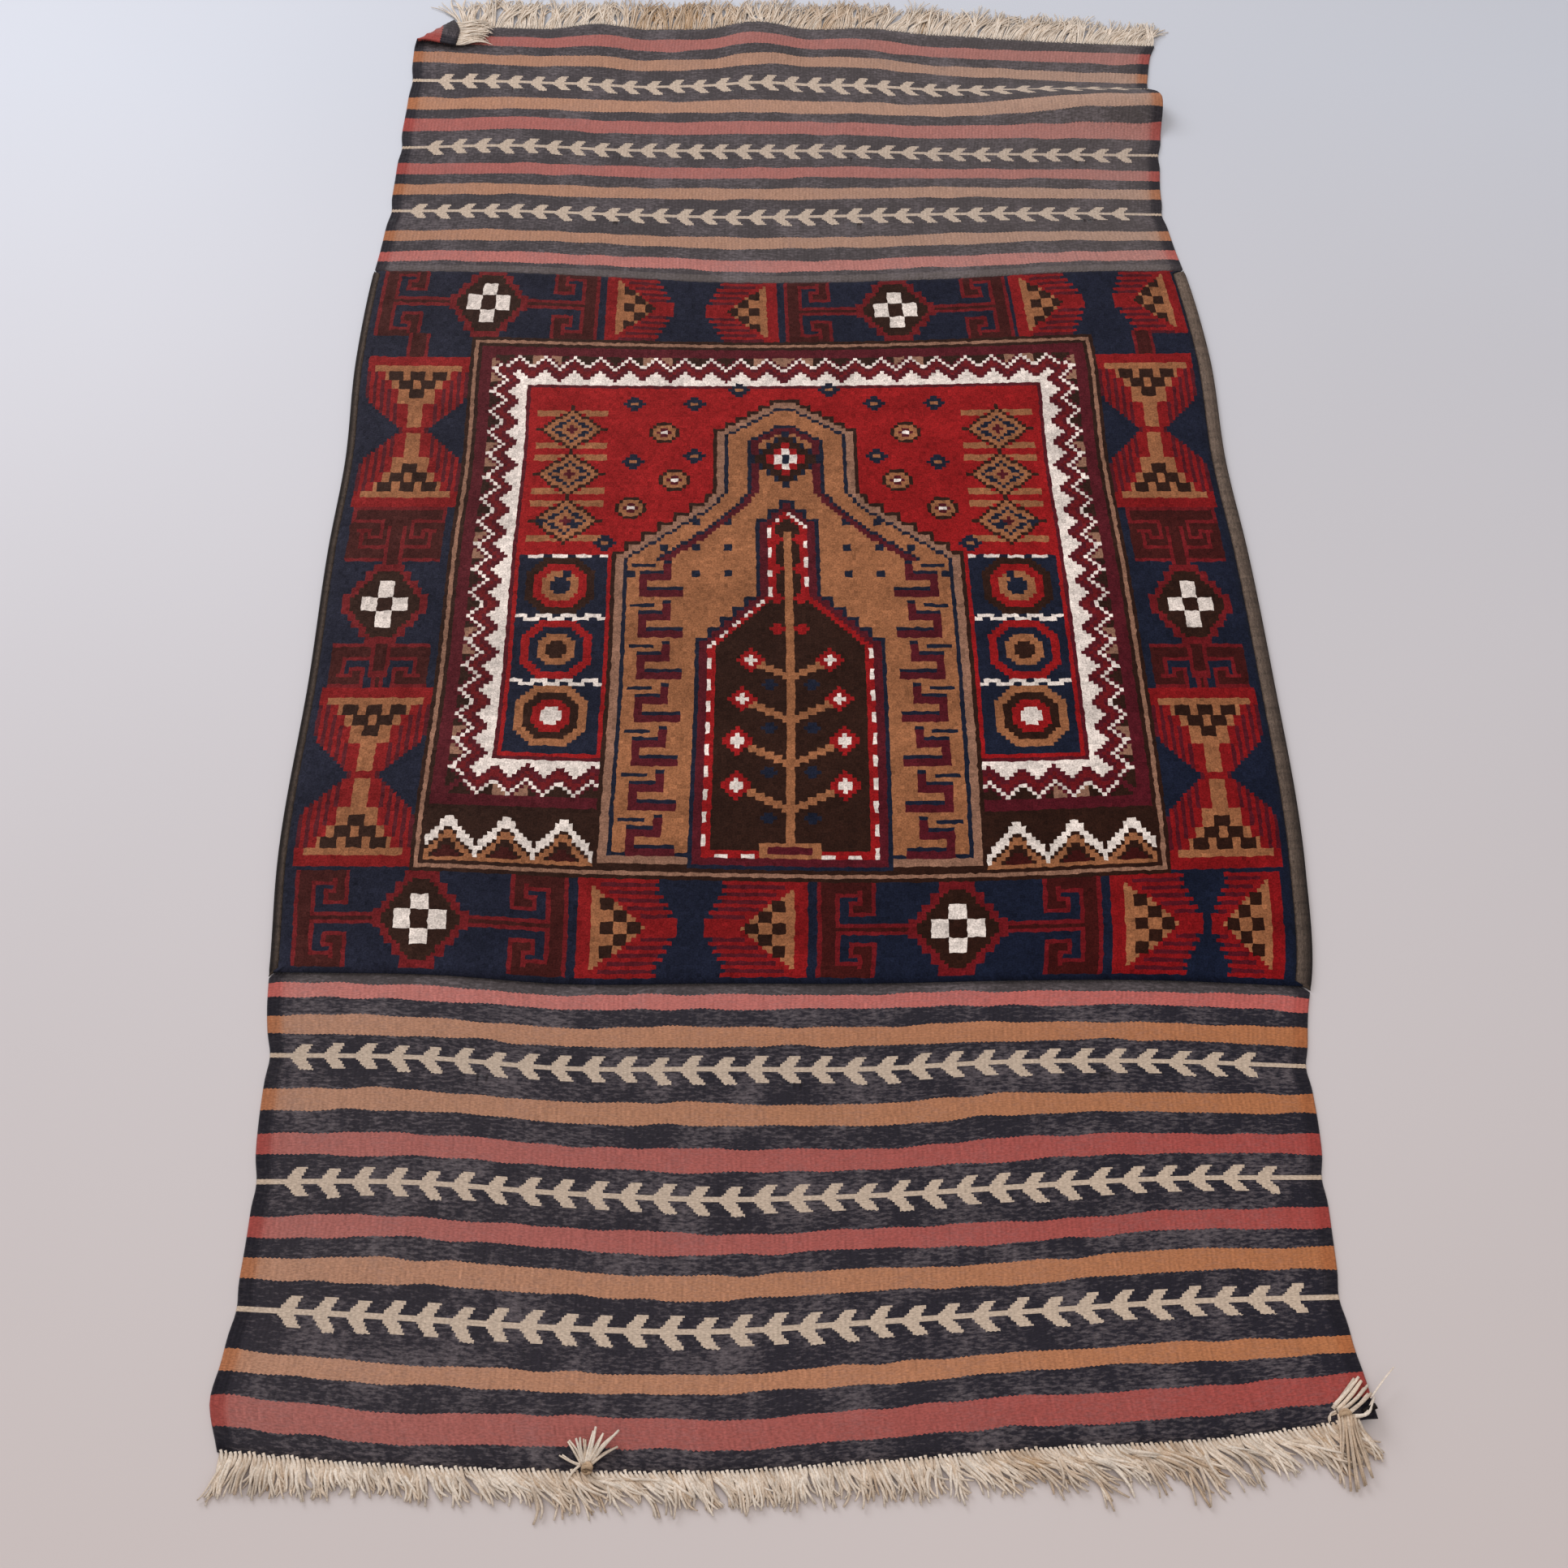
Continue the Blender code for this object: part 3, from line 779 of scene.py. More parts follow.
def draw_field(chart, x, y):
    """The red field beside the niche: stacked medallions, hooked lozenges and small stars."""
    away = np.abs(x)
    beside = np.abs(away - FIELD_COLUMN)
    # A navy panel at each side, with three medallions and a white zigzag over each of them.
    panel = (away > 45) & (away < FIELD_HALF) & (y > 58) & (y < 117)
    chart[panel] = "n"
    for k, dyes in enumerate((("c", "b", "R", "w"), ("R", "n", "c", "b"), ("b", "R", "c", "n"))):
        middle = 69 + 19 * k
        size = np.maximum(beside, np.abs(y - middle))
        cut = beside + np.abs(y - middle)
        for half, dye in zip((8.6, 6.6, 4.6, 2.1), dyes):
            chart[panel & (size < half) & (cut < half * 1.5)] = dye
        zigzag = np.abs(y - middle - 9.5 - np.abs(away % 6 - 3) / 1.5 + 1)
        chart[panel & (zigzag < 0.8)] = "w"
    # A stem above each panel, with three lozenges and their arms.
    chart[(beside < 1) & (y > 120) & (y < 166)] = "b"
    for middle in (127, 142, 157):
        lozenge = beside * 0.8 + np.abs(y - middle)
        fill_rings(chart, lozenge, ((7.4, "b"), (6.4, "c"), (4.6, "n"), (3.4, "c"), (1.6, "m")))
        arm = (beside < 10) & (np.abs(np.abs(y - middle) - 5.5) < 1)
        chart[arm & (lozenge > 7.4)] = "c"
    # Stars and dots between them and the niche.
    for column, row in ((32, 156), (29, 140), (40, 131)):
        spread = np.abs(away - column) + np.abs(y - row)
        square = np.maximum(np.abs(away - column), np.abs(y - row))
        chart[(spread < 5.5) & (square < 4)] = "b"
        chart[(spread < 4.5) & (square < 3)] = "c"
        fill_rings(chart, spread, ((2.2, "m"), (1, "w")))
    for column, row in ((40, 146), (24, 148), (24, 166), (40, 166), (46, 120), (12, 171)):
        dot = np.abs(away - column) + np.abs(y - row)
        fill_rings(chart, dot, ((2.6, "n"), (1, "c")))


def knot_chart():
    """The dye of each knot of the pile, as letters."""
    chart = np.full((KNOT_ROWS, KNOTS), "n")
    draw_border(chart)
    x, y = draw_frame(chart)
    draw_foot(chart, x, y)
    draw_field(chart, x, y)
    draw_niche(chart, x, y)
    draw_tree(chart, x, y)
    return chart


def dyed(chart, dyes):
    """The linear colour of each of a chart's cells."""
    colours = np.zeros((*chart.shape, 3))
    for letter, name in DYES.items():
        colours[chart == letter] = getattr(dyes, name)
    return colours


# ---------------------------------------------------------------------------------------------
# The flat-woven ends.

# The stripes, near end to far end: the dye and the width in millimetres. "arrows" is a band of
# cream arrows on navy, and its third number is how many warps stand before the first arrow.
NEAR_STRIPES = (
    ("weft_navy", 15), ("rose", 20), ("weft_navy", 19), ("weft_camel", 15), ("weft_navy", 18),
    ("arrows", 24, 11), ("weft_navy", 11), ("weft_camel", 17), ("weft_navy", 15), ("rose", 16),
    ("weft_navy", 14), ("arrows", 24, 6), ("weft_navy", 10), ("rose", 18), ("weft_navy", 19),
    ("weft_camel", 18), ("weft_navy", 16), ("arrows", 24, 3), ("weft_navy", 8), ("weft_camel", 17),
    ("weft_navy", 16), ("pink", 13), ("weft_navy", 10),
)
FAR_STRIPES = (
    ("weft_navy", 18), ("pink", 15), ("weft_navy", 17), ("weft_camel", 16), ("weft_navy", 18),
    ("arrows", 24, 5), ("weft_navy", 15), ("weft_camel", 17), ("weft_navy", 16), ("rose", 17),
    ("weft_navy", 14), ("arrows", 24, 9), ("weft_navy", 15), ("rose", 20), ("weft_navy", 14),
    ("weft_camel", 19), ("weft_navy", 13), ("arrows", 24, 10), ("weft_navy", 16),
    ("weft_camel", 16), ("weft_navy", 13), ("rose", 18), ("weft_navy", 22),
)
# The share of pale flecks in each dyed weft.
FLECKS = {"weft_navy": 0.85, "rose": 0.25, "pink": 0.35, "weft_camel": 0.25, "cream": 0.1}

# How much painted sheen pales the navy and the other dyes towards the sheen colour, each on the
# left and on the right.
NEAR_SHEEN = (0.03, 0, 0.25, 0)
FAR_SHEEN = (0.09, 0.16, 0.18, 0.42)
# Camel takes more of the painted sheen than the reds, and navy is paled more in a strip beside
# the pile.
CAMEL_SHEEN = 1.5
BESIDE_PALER = 0.10
BESIDE_PILE = 0.012
# How much the cells of one dye differ, each by itself and from row to row.
CELL_SHADE = 0.05
ROW_SHADE = 0.06

# Half the flat width of a woven end, its warps, and the cords at each side with their width.
WEAVE_HALF = 0.423
WARPS = 448
CORDS = 3
CORD_WIDTH = 0.0034
# The strip at each side that takes less of the painted sheen, how softly it ends, and how much
# darker it is.
CORD_ZONE = 0.012
CORD_ZONE_SOFT = 0.006
CORD_KEEPS = 0.4
CORD_DEPTH = 0.10
# How far the cords, the grooves between them and the outermost edge stand off the cloth's face,
# and how uneven that face is.
CORD_RISE = 0.0005
CORD_GROOVE = -0.0004
EDGE_DROP = -0.0012
WEFT_ROUGH = 0.00006
# The longest row of cells in a plain stripe, how far a stripe's edge wanders, and the teeth that
# the warps comb into it.
PLAIN_ROW = 0.008
WANDER = 0.0015
COMB = 0.0008

# An arrow band's rows, and its warps from arrow to arrow and after the last one.
ARROW_ROWS = 18
ARROW_WARPS = 14.4
LAST_WARPS = 20
# In millimetres: an arrow's half height, its shaft's lower and upper side, and how far the middle
# of each arrow strays from the shaft.
ARROW_HALF = 12.0
ARROW_SHAFT = (-1.45, 2.1)
ARROW_STRAY = 0.7
# In warps: where an arrow's point and the back of its body stand, and how far its front and its
# back slope away above and below the shaft.
ARROW_POINT = -0.4
ARROW_BACK = 6.5
FRONT_SLOPES = (6.3, 6.5)
BACK_SLOPES = (4.4, 5.2)
# The cream shafts draw the edges in a little: by this share, over this length along the rug.
SHAFT_PULL = 0.006
SHAFT_REACH = 0.013


def warp_places():
    """The places of the columns' edges across the rug, from -1 to 1: side cords and warps."""
    cords = np.arange(2 * CORDS) * CORD_WIDTH / 2 / WEAVE_HALF
    inner = 1 - 2 * CORDS * CORD_WIDTH / 2 / WEAVE_HALF
    return np.concatenate([-1 + cords, np.linspace(-inner, inner, WARPS + 1), 1 - cords[::-1]])


def arrow_row(level, count, heads, first):
    """Which warps of a row in an arrow band are cream. level is its height off the shaft, and
    first is how many warps stand before the first arrow."""
    column = np.arange(count) - CORDS * 2 - first
    high = level + heads[np.clip(column // ARROW_WARPS, 0, len(heads) - 1).astype(int)]
    share = np.abs(high) / ARROW_HALF
    phase = column % ARROW_WARPS
    front = np.where(high > 0, *FRONT_SLOPES) * share + ARROW_POINT
    back = np.where(high > 0, *BACK_SLOPES) * share + ARROW_BACK
    inside = (phase > front) & (phase < back) & (share < 0.95)
    inside &= (column >= 0) & (column < count - 4 * CORDS - LAST_WARPS)
    return inside | ((level > ARROW_SHAFT[0]) & (level < ARROW_SHAFT[1]))


def stripe_cells(random, stripes, start, count):
    """The rows of a flat-woven end: their edges along the rug, each cell's dye, and whether an
    edge parts two dyes."""
    edges, dyes, parting = [start], [], [True]
    for dye, millimetres, *first in stripes:
        width = millimetres / 1000
        if dye == "arrows":
            heads = random.uniform(-ARROW_STRAY, ARROW_STRAY, int(count // ARROW_WARPS) + 1)
            for k in range(ARROW_ROWS):
                level = ((k + 0.5) / ARROW_ROWS - 0.5) * millimetres
                cream = arrow_row(level, count, heads, *first)
                dyes.append(np.where(cream, "cream", "weft_navy"))
                edges.append(edges[-1] + width / ARROW_ROWS)
                parting.append(False)
            continue
        steps = max(1, math.ceil(width / PLAIN_ROW))
        for k in range(steps):
            dyes.append(np.full(count, dye))
            edges.append(edges[-1] + width / steps)
            parting.append(k == steps - 1)
    return np.array(edges), np.array(dyes), np.array(parting)


def wander(random, edges, parting, across):
    """How far each edge of a row strays along the rug at each column's edge, in metres."""
    count = len(across)
    stray = np.zeros((len(edges), count))
    for k in range(len(edges)):
        if parting[k]:
            slow = slow_noise(random, across, 0.6, 6) * WANDER
            comb = np.where(np.arange(count) % 2 == 0, 1, -1) * random.uniform(0.1, 0.9, count)
            stray[k] = slow + comb * COMB
    return stray


def weft_colours(random, dyes, names, edges, across, sheen_shares):
    """The linear colour of each cell of a flat-woven end, with its share of pale flecks."""
    colours = np.zeros((*names.shape, 4))
    for dye, flecks in FLECKS.items():
        colours[names == dye] = (*getattr(dyes, dye), flecks)
    shade = 1 + CELL_SHADE * random.standard_normal(names.shape)
    shade *= 1 + ROW_SHADE * slow_noise(random, edges[:-1], 0.3, 4)[:, None]
    inside = (1 - np.abs(across[:-1] + across[1:]) / 2) * WEAVE_HALF
    cord = 1 - ease((inside - CORD_ZONE) / CORD_ZONE_SOFT + 0.5)
    to_pile = np.minimum(np.abs(edges[:-1] - PILE_NEAR), np.abs(edges[:-1] - PILE_FAR))
    # Painted sheen: the wefts are paled towards the sheen colour by the shares for each end and
    # side.
    navy = np.linspace(*sheen_shares[:2], len(inside)) + BESIDE_PALER * (to_pile < BESIDE_PILE)[:, None]
    painted_sheen = np.where(names == "weft_navy", navy, np.linspace(*sheen_shares[2:], len(inside)))
    painted_sheen = np.where(names == "weft_camel", CAMEL_SHEEN * painted_sheen, painted_sheen)
    painted_sheen = (painted_sheen * ease(inside / 0.05 + 0.4) * (1 - CORD_KEEPS * cord))[..., None]
    colours[..., :3] += (np.array(dyes.sheen_colour) - colours[..., :3]) * painted_sheen
    colours[..., :3] **= (1 + CORD_DEPTH * cord)[:, None]
    colours[..., :3] *= shade[..., None]
    colours[..., 3] *= 1 - 0.8 * cord
    return colours


def weave_end(name, stripes, start, end, dyes, sheen_shares, seed):
    """One flat-woven end as a closed sheet, painted front and back."""
    random = np.random.default_rng(seed)
    across = warp_places()
    count = len(across) - 1
    edges, names, parting = stripe_cells(random, stripes, start, count)
    edges = start + (edges - start) * (end - start) / (edges[-1] - start)
    parting[[0, -1]] = False
    stray = wander(random, edges, parting, across)
    mesh = chart_slab(name, count, len(edges) - 1)
    paint_cells(mesh, weft_colours(random, dyes, names, edges, across, sheen_shares))
    column, row, upper = mesh_points(mesh).T
    column, row = column.astype(int), row.astype(int)
    along = edges[row] + stray[row, column]
    edge = np.minimum(column, count - column)
    relief = np.where(edge % 2 == 1, CORD_RISE, CORD_GROOVE) * (edge < 2 * CORDS)
    relief = np.where(edge == 0, EDGE_DROP, relief)
    rough = random.normal(0, WEFT_ROUGH, len(upper))
    thick = upper * (KILIM_THICK + relief + rough)
    lay_uv(mesh, np.column_stack([(across[column] + 1) * WEAVE_HALF, along - CLOTH_NEAR]))
    shafts = edges[:-1][(names == "cream").all(axis=1)]
    off = np.abs(along[:, None] - shafts).min(axis=1) / SHAFT_REACH
    drawn_in = across[column] * (1 - SHAFT_PULL * np.exp(-(off**2)))
    move_points(mesh, place(drawn_in, along, thick))
    return mesh


# A rib every two warps, because single ones are too fine to show, and how many radians a wave
# texture turns for each unit of its scale.
RIB_PITCH = 0.00368
WAVE_RADIANS = 20


def flat_weave_material(settings):
    """Weft-faced flat weave: hard-spun wool that hides its warps. The eye sees ribs where the
    warps run, short pale streaks in the dark wefts, and no gloss."""
    material, tree, shader = new_material("flat_woven_wool")
    yarn = add_node(tree, "ShaderNodeAttribute", attribute_name="yarn_colour")
    place_map = add_node(tree, "ShaderNodeUVMap", uv_map="weave")
    # Pale streaks along the wefts, 7 mm by 2.1 mm, in patches 45 mm across.
    streak_map = add_node(
        tree, "ShaderNodeMapping",
        {"Vector": place_map.outputs["UV"], "Scale": (1 / 0.0070, 1 / 0.0021, 1)},
    )
    streaks = add_node(
        tree, "ShaderNodeTexNoise",
        {"Vector": streak_map.outputs[0], "Scale": 1, "Detail": 3, "Roughness": 0.65},
        noise_dimensions="2D",
    )
    patches = add_node(
        tree, "ShaderNodeTexNoise",
        {"Vector": place_map.outputs["UV"], "Scale": 1 / 0.045, "Detail": 2},
        noise_dimensions="2D",
    )
    both = add_node(
        tree, "ShaderNodeMath",
        {0: patches.outputs["Fac"], 1: 0.6, 2: streaks.outputs["Fac"]}, operation="MULTIPLY_ADD",
    )
    flecked = add_node(
        tree, "ShaderNodeMapRange",
        {"Value": both.outputs[0], "From Min": 0.75, "From Max": 1.08, "To Max": 0.65},
    )
    share = add_node(
        tree, "ShaderNodeMath",
        {0: flecked.outputs[0], 1: yarn.outputs["Alpha"]}, operation="MULTIPLY",
    )
    pale = add_node(
        tree, "ShaderNodeMix",
        {"Factor": share.outputs[0], "A": yarn.outputs["Color"], "B": (*settings.fleck, 1)},
        data_type="RGBA",
    )
    # The yarn's own grain, 3 mm by 1.1 mm.
    fine_map = add_node(
        tree, "ShaderNodeMapping",
        {"Vector": place_map.outputs["UV"], "Scale": (1 / 0.0030, 1 / 0.0011, 1)},
    )
    fine, tone = grain(
        tree, fine_map.outputs[0], 1, 2, (0.25, 0.75), (0.80, 1.20), noise_dimensions="2D"
    )
    ribs = add_node(
        tree, "ShaderNodeTexWave",
        {"Vector": place_map.outputs["UV"], "Scale": 2 * math.pi / WAVE_RADIANS / RIB_PITCH},
        bands_direction="X",
    )
    height = add_node(
        tree, "ShaderNodeMath",
        {0: fine, 1: 1.6, 2: ribs.outputs["Fac"]}, operation="MULTIPLY_ADD",
    )
    finish_shader(
        tree, shader, pale.outputs["Result"], tone,
        {"Height": height.outputs[0], "Strength": 0.7, "Distance": 0.0004},
        {"Roughness": 0.9, "Specular IOR Level": 0.25, "Sheen Weight": 0.08,
         "Sheen Roughness": 0.4},
    )
    return material


# ---------------------------------------------------------------------------------------------
# The knotted middle.

# Its flat width.
PILE_WIDTH = 0.855
# How much painted sheen pales the pile towards the sheen colour on the left and at the far end,
# and how much knots of one dye differ, each by itself and from row to row.
PILE_SHEEN = (0.03, 0.02)
KNOT_SHADE = 0.10
# How far the knots stray, how uneven the clipped face is, and its height at the rim and inwards.
KNOT_STRAY = 0.00035
TUFT_ROUGH = 0.0003
RIM_HEIGHTS = (0.0052, 0.0074, PILE_THICK)


def drifted(column, row):
    """Where a column of the chart stands, in knots, once the frame's sides have drifted."""
    share = row / KNOT_ROWS
    keys = (0, BORDER, KNOTS - BORDER, KNOTS)
    near, far = (
        np.interp(column, keys, (0, BORDER + left, KNOTS - BORDER + right, KNOTS))
        for left, right in zip(FRAME_DRIFT["left"], FRAME_DRIFT["right"])
    )
    return near * (1 - share) + far * share


def weave_pile(dyes, seed):
    """The knotted middle as a closed slab: a cell for each knot, painted front and back."""
    random = np.random.default_rng(seed)
    mesh = chart_slab("knotted_pile", KNOTS, KNOT_ROWS)
    chart = knot_chart()
    colours = np.ones((KNOT_ROWS, KNOTS, 4))
    colours[..., :3] = dyed(chart, dyes)
    shade = 1 + KNOT_SHADE * random.standard_normal(chart.shape)
    shade *= 1 + KNOT_SHADE * slow_noise(random, np.arange(KNOT_ROWS), 60, 6)[:, None]
    left = 1 - np.arange(KNOTS) / KNOTS
    far = np.arange(KNOT_ROWS)[:, None] / KNOT_ROWS
    # Painted sheen: the knots are paled on the left and a little at the far end.
    painted_sheen = (PILE_SHEEN[0] * left**2 + PILE_SHEEN[1] * far)[..., None]
    colours[..., :3] += (np.array(dyes.sheen_colour) - colours[..., :3]) * painted_sheen
    colours[..., :3] *= np.clip(shade, 0.6, 1.5)[..., None]
    paint_cells(mesh, colours)
    column, row, upper = mesh_points(mesh).T
    step = (PILE_FAR - PILE_NEAR) / KNOT_ROWS
    along = PILE_NEAR + row * step
    across = 2 * drifted(column, row) / KNOTS - 1
    inner = (column > 0) & (column < KNOTS) & (row > 0) & (row < KNOT_ROWS)
    stray = random.normal(0, KNOT_STRAY, (len(upper), 2)) * (inner & (upper > 0))[:, None]
    along = along + stray[:, 0]
    across = across + stray[:, 1] * 2 / PILE_WIDTH
    rim = np.minimum(np.minimum(column, KNOTS - column), np.minimum(row, KNOT_ROWS - row))
    high = np.interp(rim, (0, 1, 2), RIM_HEIGHTS)
    thick = upper * (high + random.normal(0, TUFT_ROUGH, len(upper)))
    lay_uv(mesh, np.column_stack([(across + 1) * PILE_WIDTH / 2, along - CLOTH_NEAR]))
    move_points(mesh, place(across, along, thick))
    return mesh


def pile_material():
    """Clipped hand-spun wool pile. The eye sees the cut ends of the tufts as a soft grain, slow
    changes in the dye, and a faint sheen where the pile leans."""
    material, tree, shader = new_material("clipped_wool_pile")
    yarn = add_node(tree, "ShaderNodeAttribute", attribute_name="yarn_colour")
    where = add_node(tree, "ShaderNodeTexCoord").outputs["Object"]
    # The cut ends of the yarn, about 1.6 mm across, and slow changes in the dye, over 30 mm.
    tufts, tone = grain(tree, where, 0.0016, 3, (0.25, 0.75), (0.55, 1.45), rough=0.6)
    _, slow = grain(tree, where, 0.030, 3, (0.3, 0.7), (0.85, 1.15))
    shade = add_node(tree, "ShaderNodeMath", {0: tone, 1: slow}, operation="MULTIPLY")
    finish_shader(
        tree, shader, yarn.outputs["Color"], shade.outputs[0],
        {"Height": tufts, "Strength": 0.8, "Distance": 0.0012},
        {"Roughness": 0.95, "Specular IOR Level": 0.06, "Sheen Weight": 0.02,
         "Sheen Roughness": 0.5},
    )
    return material


# ---------------------------------------------------------------------------------------------
# The side selvages.

# The wraps along a selvage, the faces round each of its cords, how far it runs past the pile at
# each end, the gap between it and the cloth, and the radius that its map counts from.
WRAPS = 320
CORD_FACES = 12
SELVAGE_PAST = 0.003
SELVAGE_GAP = 0.0004
WRAP_RADIUS = 0.004
# How far the dark hair reaches in from the outer side, how much paler the far end is, and how much
# the wraps and the faces differ, as shares.
WRAP_DARK = {"left": 0.35, "right": 0.15}
WRAP_FADE = {"left": 0.1, "right": 0.6}
WRAP_SHADE = 0.10
HAIR_SHADE = 0.14
# How deep the grooves between the cords are, and how much each wrap swells, as shares.
CORD_FURROW = 0.28
WRAP_SWELL = 0.10


def wrap_selvage(side, settings, seed):
    """The overcast edge along one side of the pile: cords side by side, with yarn wrapped round
    them."""
    random = np.random.default_rng(seed)
    sign = {"left": -1, "right": 1}[side]
    cords = {"left": settings.left_cords, "right": settings.right_cords}[side]
    bm = bmesh.new()
    bmesh.ops.create_cone(
        bm, segments=CORD_FACES * cords, cap_ends=True, radius1=1, radius2=1, depth=1,
        matrix=Matrix.Translation((0, 0, 0.5)),
    )
    upright = [edge for edge in bm.edges if abs(edge.verts[0].co.z - edge.verts[1].co.z) > 0.5]
    bmesh.ops.subdivide_edges(bm, edges=upright, cuts=WRAPS - 1)
    mesh = smooth_mesh(bm, f"selvage_cords_{side}")
    points = mesh_points(mesh)
    angle = np.arctan2(points[:, 1], points[:, 0])
    step = points[:, 2] * WRAPS
    length = PILE_FAR - PILE_NEAR + 2 * SELVAGE_PAST
    along = PILE_NEAR - SELVAGE_PAST + length * points[:, 2]
    middles = face_middles(mesh)
    wrap = np.clip((middles[:, 2] * WRAPS).astype(int), 0, WRAPS - 1)
    shade = 1 + WRAP_SHADE * random.standard_normal(WRAPS)[wrap]
    shade += HAIR_SHADE * random.standard_normal(len(wrap))
    inward = np.clip(0.5 - sign * middles[:, 0] * 0.5, 0, 1)
    dark, light = np.array(settings.selvage_dark), np.array(settings.selvage_light)
    mix = np.clip(inward - WRAP_DARK[side] + middles[:, 2] * WRAP_FADE[side], 0, 1)[:, None]
    colours = (dark * (1 - mix) + light * mix) * np.clip(shade, 0.5, 1.7)[:, None]
    paint_corners(mesh, per_corner(mesh, np.column_stack([colours, 0 * shade])))
    ends = np.full(len(along), float(sign))
    outer = place(ends, along, 0 * along, inset=False)
    inner = place(ends, along, 0 * along)
    room = np.abs(outer[:, 0] - inner[:, 0]) - SELVAGE_GAP
    share = np.clip(room / SELVAGE_WIDTH[side], 0, 1)
    high = SELVAGE_HEIGHT * (SELVAGE_END_HEIGHT + (1 - SELVAGE_END_HEIGHT) * share)
    over = np.cos(angle)
    up = np.sin(angle)
    furrow = np.abs(np.cos(over * cords * math.pi / 2 + (cords % 2) * math.pi / 2))
    ribs = 1 - CORD_FURROW * furrow
    lump = 0.94 + WRAP_SWELL * np.abs(np.sin(step * math.pi / 2 + over))
    x = outer[:, 0] - sign * room / 2 + over * room / 2
    z = outer[:, 2] + high / 2 * (1 + up * np.where(up > 0, ribs * lump, 1))
    lay_uv(mesh, np.column_stack([angle * WRAP_RADIUS, along]))
    move_points(mesh, np.column_stack([x, outer[:, 1], z]))
    return mesh


def selvage_material():
    """Overcast goat hair: dark, wiry and dry. The eye sees each wrap's own tone, and the hairs."""
    material, tree, shader = new_material("overcast_goat_hair")
    yarn = add_node(tree, "ShaderNodeAttribute", attribute_name="yarn_colour")
    where = add_node(tree, "ShaderNodeTexCoord").outputs["Object"]
    # Locks of hair 1.2 mm across: single hairs are too fine to show.
    hairs, tone = grain(tree, where, 0.0012, 4, (0.3, 0.7), (0.6, 1.5), rough=0.7)
    finish_shader(
        tree, shader, yarn.outputs["Color"], tone,
        {"Height": hairs, "Strength": 0.6, "Distance": 0.0006},
        {"Roughness": 0.85, "Specular IOR Level": 0.25},
    )
    return material


# ---------------------------------------------------------------------------------------------
# The fringes.

# The bunches at each end, and the middles of the first and the last one across the cloth.
BUNCHES = 240
BUNCHES_TO = 0.992
# A ply's sides and its places from the cloth's edge to its tip, how far inside the cloth it is
# rooted, and its girth at the root, at the edge, beyond it and at the tip.
PLY_SIDES = 6
PLY_STEPS = 10
ROOT_IN = 0.0016
PLY_GIRTHS = (0.5, 0.95, 1.1, 0.6)
# Where its root stands: how far from the next ply's, and how far over the cloth's face. It leaves
# the edge at this share of the cloth's thickness, and comes to rest on one of three layers.
ROOT_LANE = 0.0004
ROOT_UP = 0.0003
LEAVES_AT = 0.7
PLY_LAYER = 0.0007
# A bunch whose heading points up or down by more than this is left out: the fold stands it on end.
MOST_UP = 0.3
# On the folded corner, the bunches turn by this angle, keep this share of their length and lie
# this far over the cloth.
FOLDED_TURN = -0.35
FOLDED_SHARE = 0.75
FOLDED_CLEAR = 0.0012
# How the bunches differ: their lean in degrees, slowly and each by itself, their length, and how
# high they are piled in metres.
LEAN_SWIRL = 9
LEAN_STRAY = 12
LENGTH_SWELL = 0.10
LENGTH_SHARES = (0.86, 1.1)
PILED = 0.0016
PILED_STRAY = 0.0006
# How the plies of a bunch differ, in radians: how far each splays from the next one and by itself,
# its curl, and how much all of them sway. No ply bends further than MOST_BEND.
PLY_SPLAY = 0.09
SPLAY_STRAY = 0.14
CURL_STRAY = 0.4
SWAY = 0.30
MOST_BEND = 1.3
# Their shares of the bunch's length and of a ply's thickness, and their twist round each other.
PLY_LENGTHS = (0.78, 1.06)
PLY_THICKNESSES = (0.85, 1.15)
TWIST = 7
# How far the soil and its painted shade differ slowly and from ply to ply, and how much more
# painted shade the first ply has, as it lies on the lowest layer.
SOIL_SHADE_SWELL = 0.15
SOIL_SHADE_STRAY = 0.16
LOW_PLY_SHADE = 0.15


def yarn_mesh(name, paths, radii):
    """Closed six-sided yarns along the paths, all drawn out together, and each corner's yarn."""
    bm = bmesh.new()
    number = bm.faces.layers.int.new("yarn")
    for k, (path, radius) in enumerate(zip(paths, radii)):
        heading = Vector(path[1] - path[0]).normalized()
        turn = Vector((0, 0, 1)).rotation_difference(heading).to_matrix().to_4x4()
        ring = bmesh.ops.create_circle(
            bm, cap_ends=True, segments=PLY_SIDES, radius=radius[0],
            matrix=Matrix.Translation(path[0]) @ turn,
        )
        ring["verts"][0].link_faces[0][number] = k
    faces = bm.faces[:]
    for step in range(1, len(paths[0])):
        faces = bmesh.ops.extrude_discrete_faces(bm, faces=faces)["faces"]
        for face in faces:
            path = paths[face[number]]
            before = Vector(path[step] - path[step - 1]).normalized()
            after = Vector(path[min(step + 1, len(path) - 1)] - path[step - 1]).normalized()
            turn = before.rotation_difference(after)
            middle = face.calc_center_median()
            radius = radii[face[number]][step]
            for vert in face.verts:
                spoke = turn @ (vert.co - middle).normalized()
                vert.co = Vector(path[step]) + spoke * radius
    roots = [edge for edge in bm.edges if edge.is_boundary]
    bmesh.ops.holes_fill(bm, edges=roots, sides=PLY_SIDES)
    bmesh.ops.recalc_face_normals(bm, faces=bm.faces)
    yarn_of = np.array([face[number] for face in bm.faces])
    bm.faces.layers.int.remove(number)
    mesh = smooth_mesh(bm, name)
    return mesh, per_corner(mesh, yarn_of)


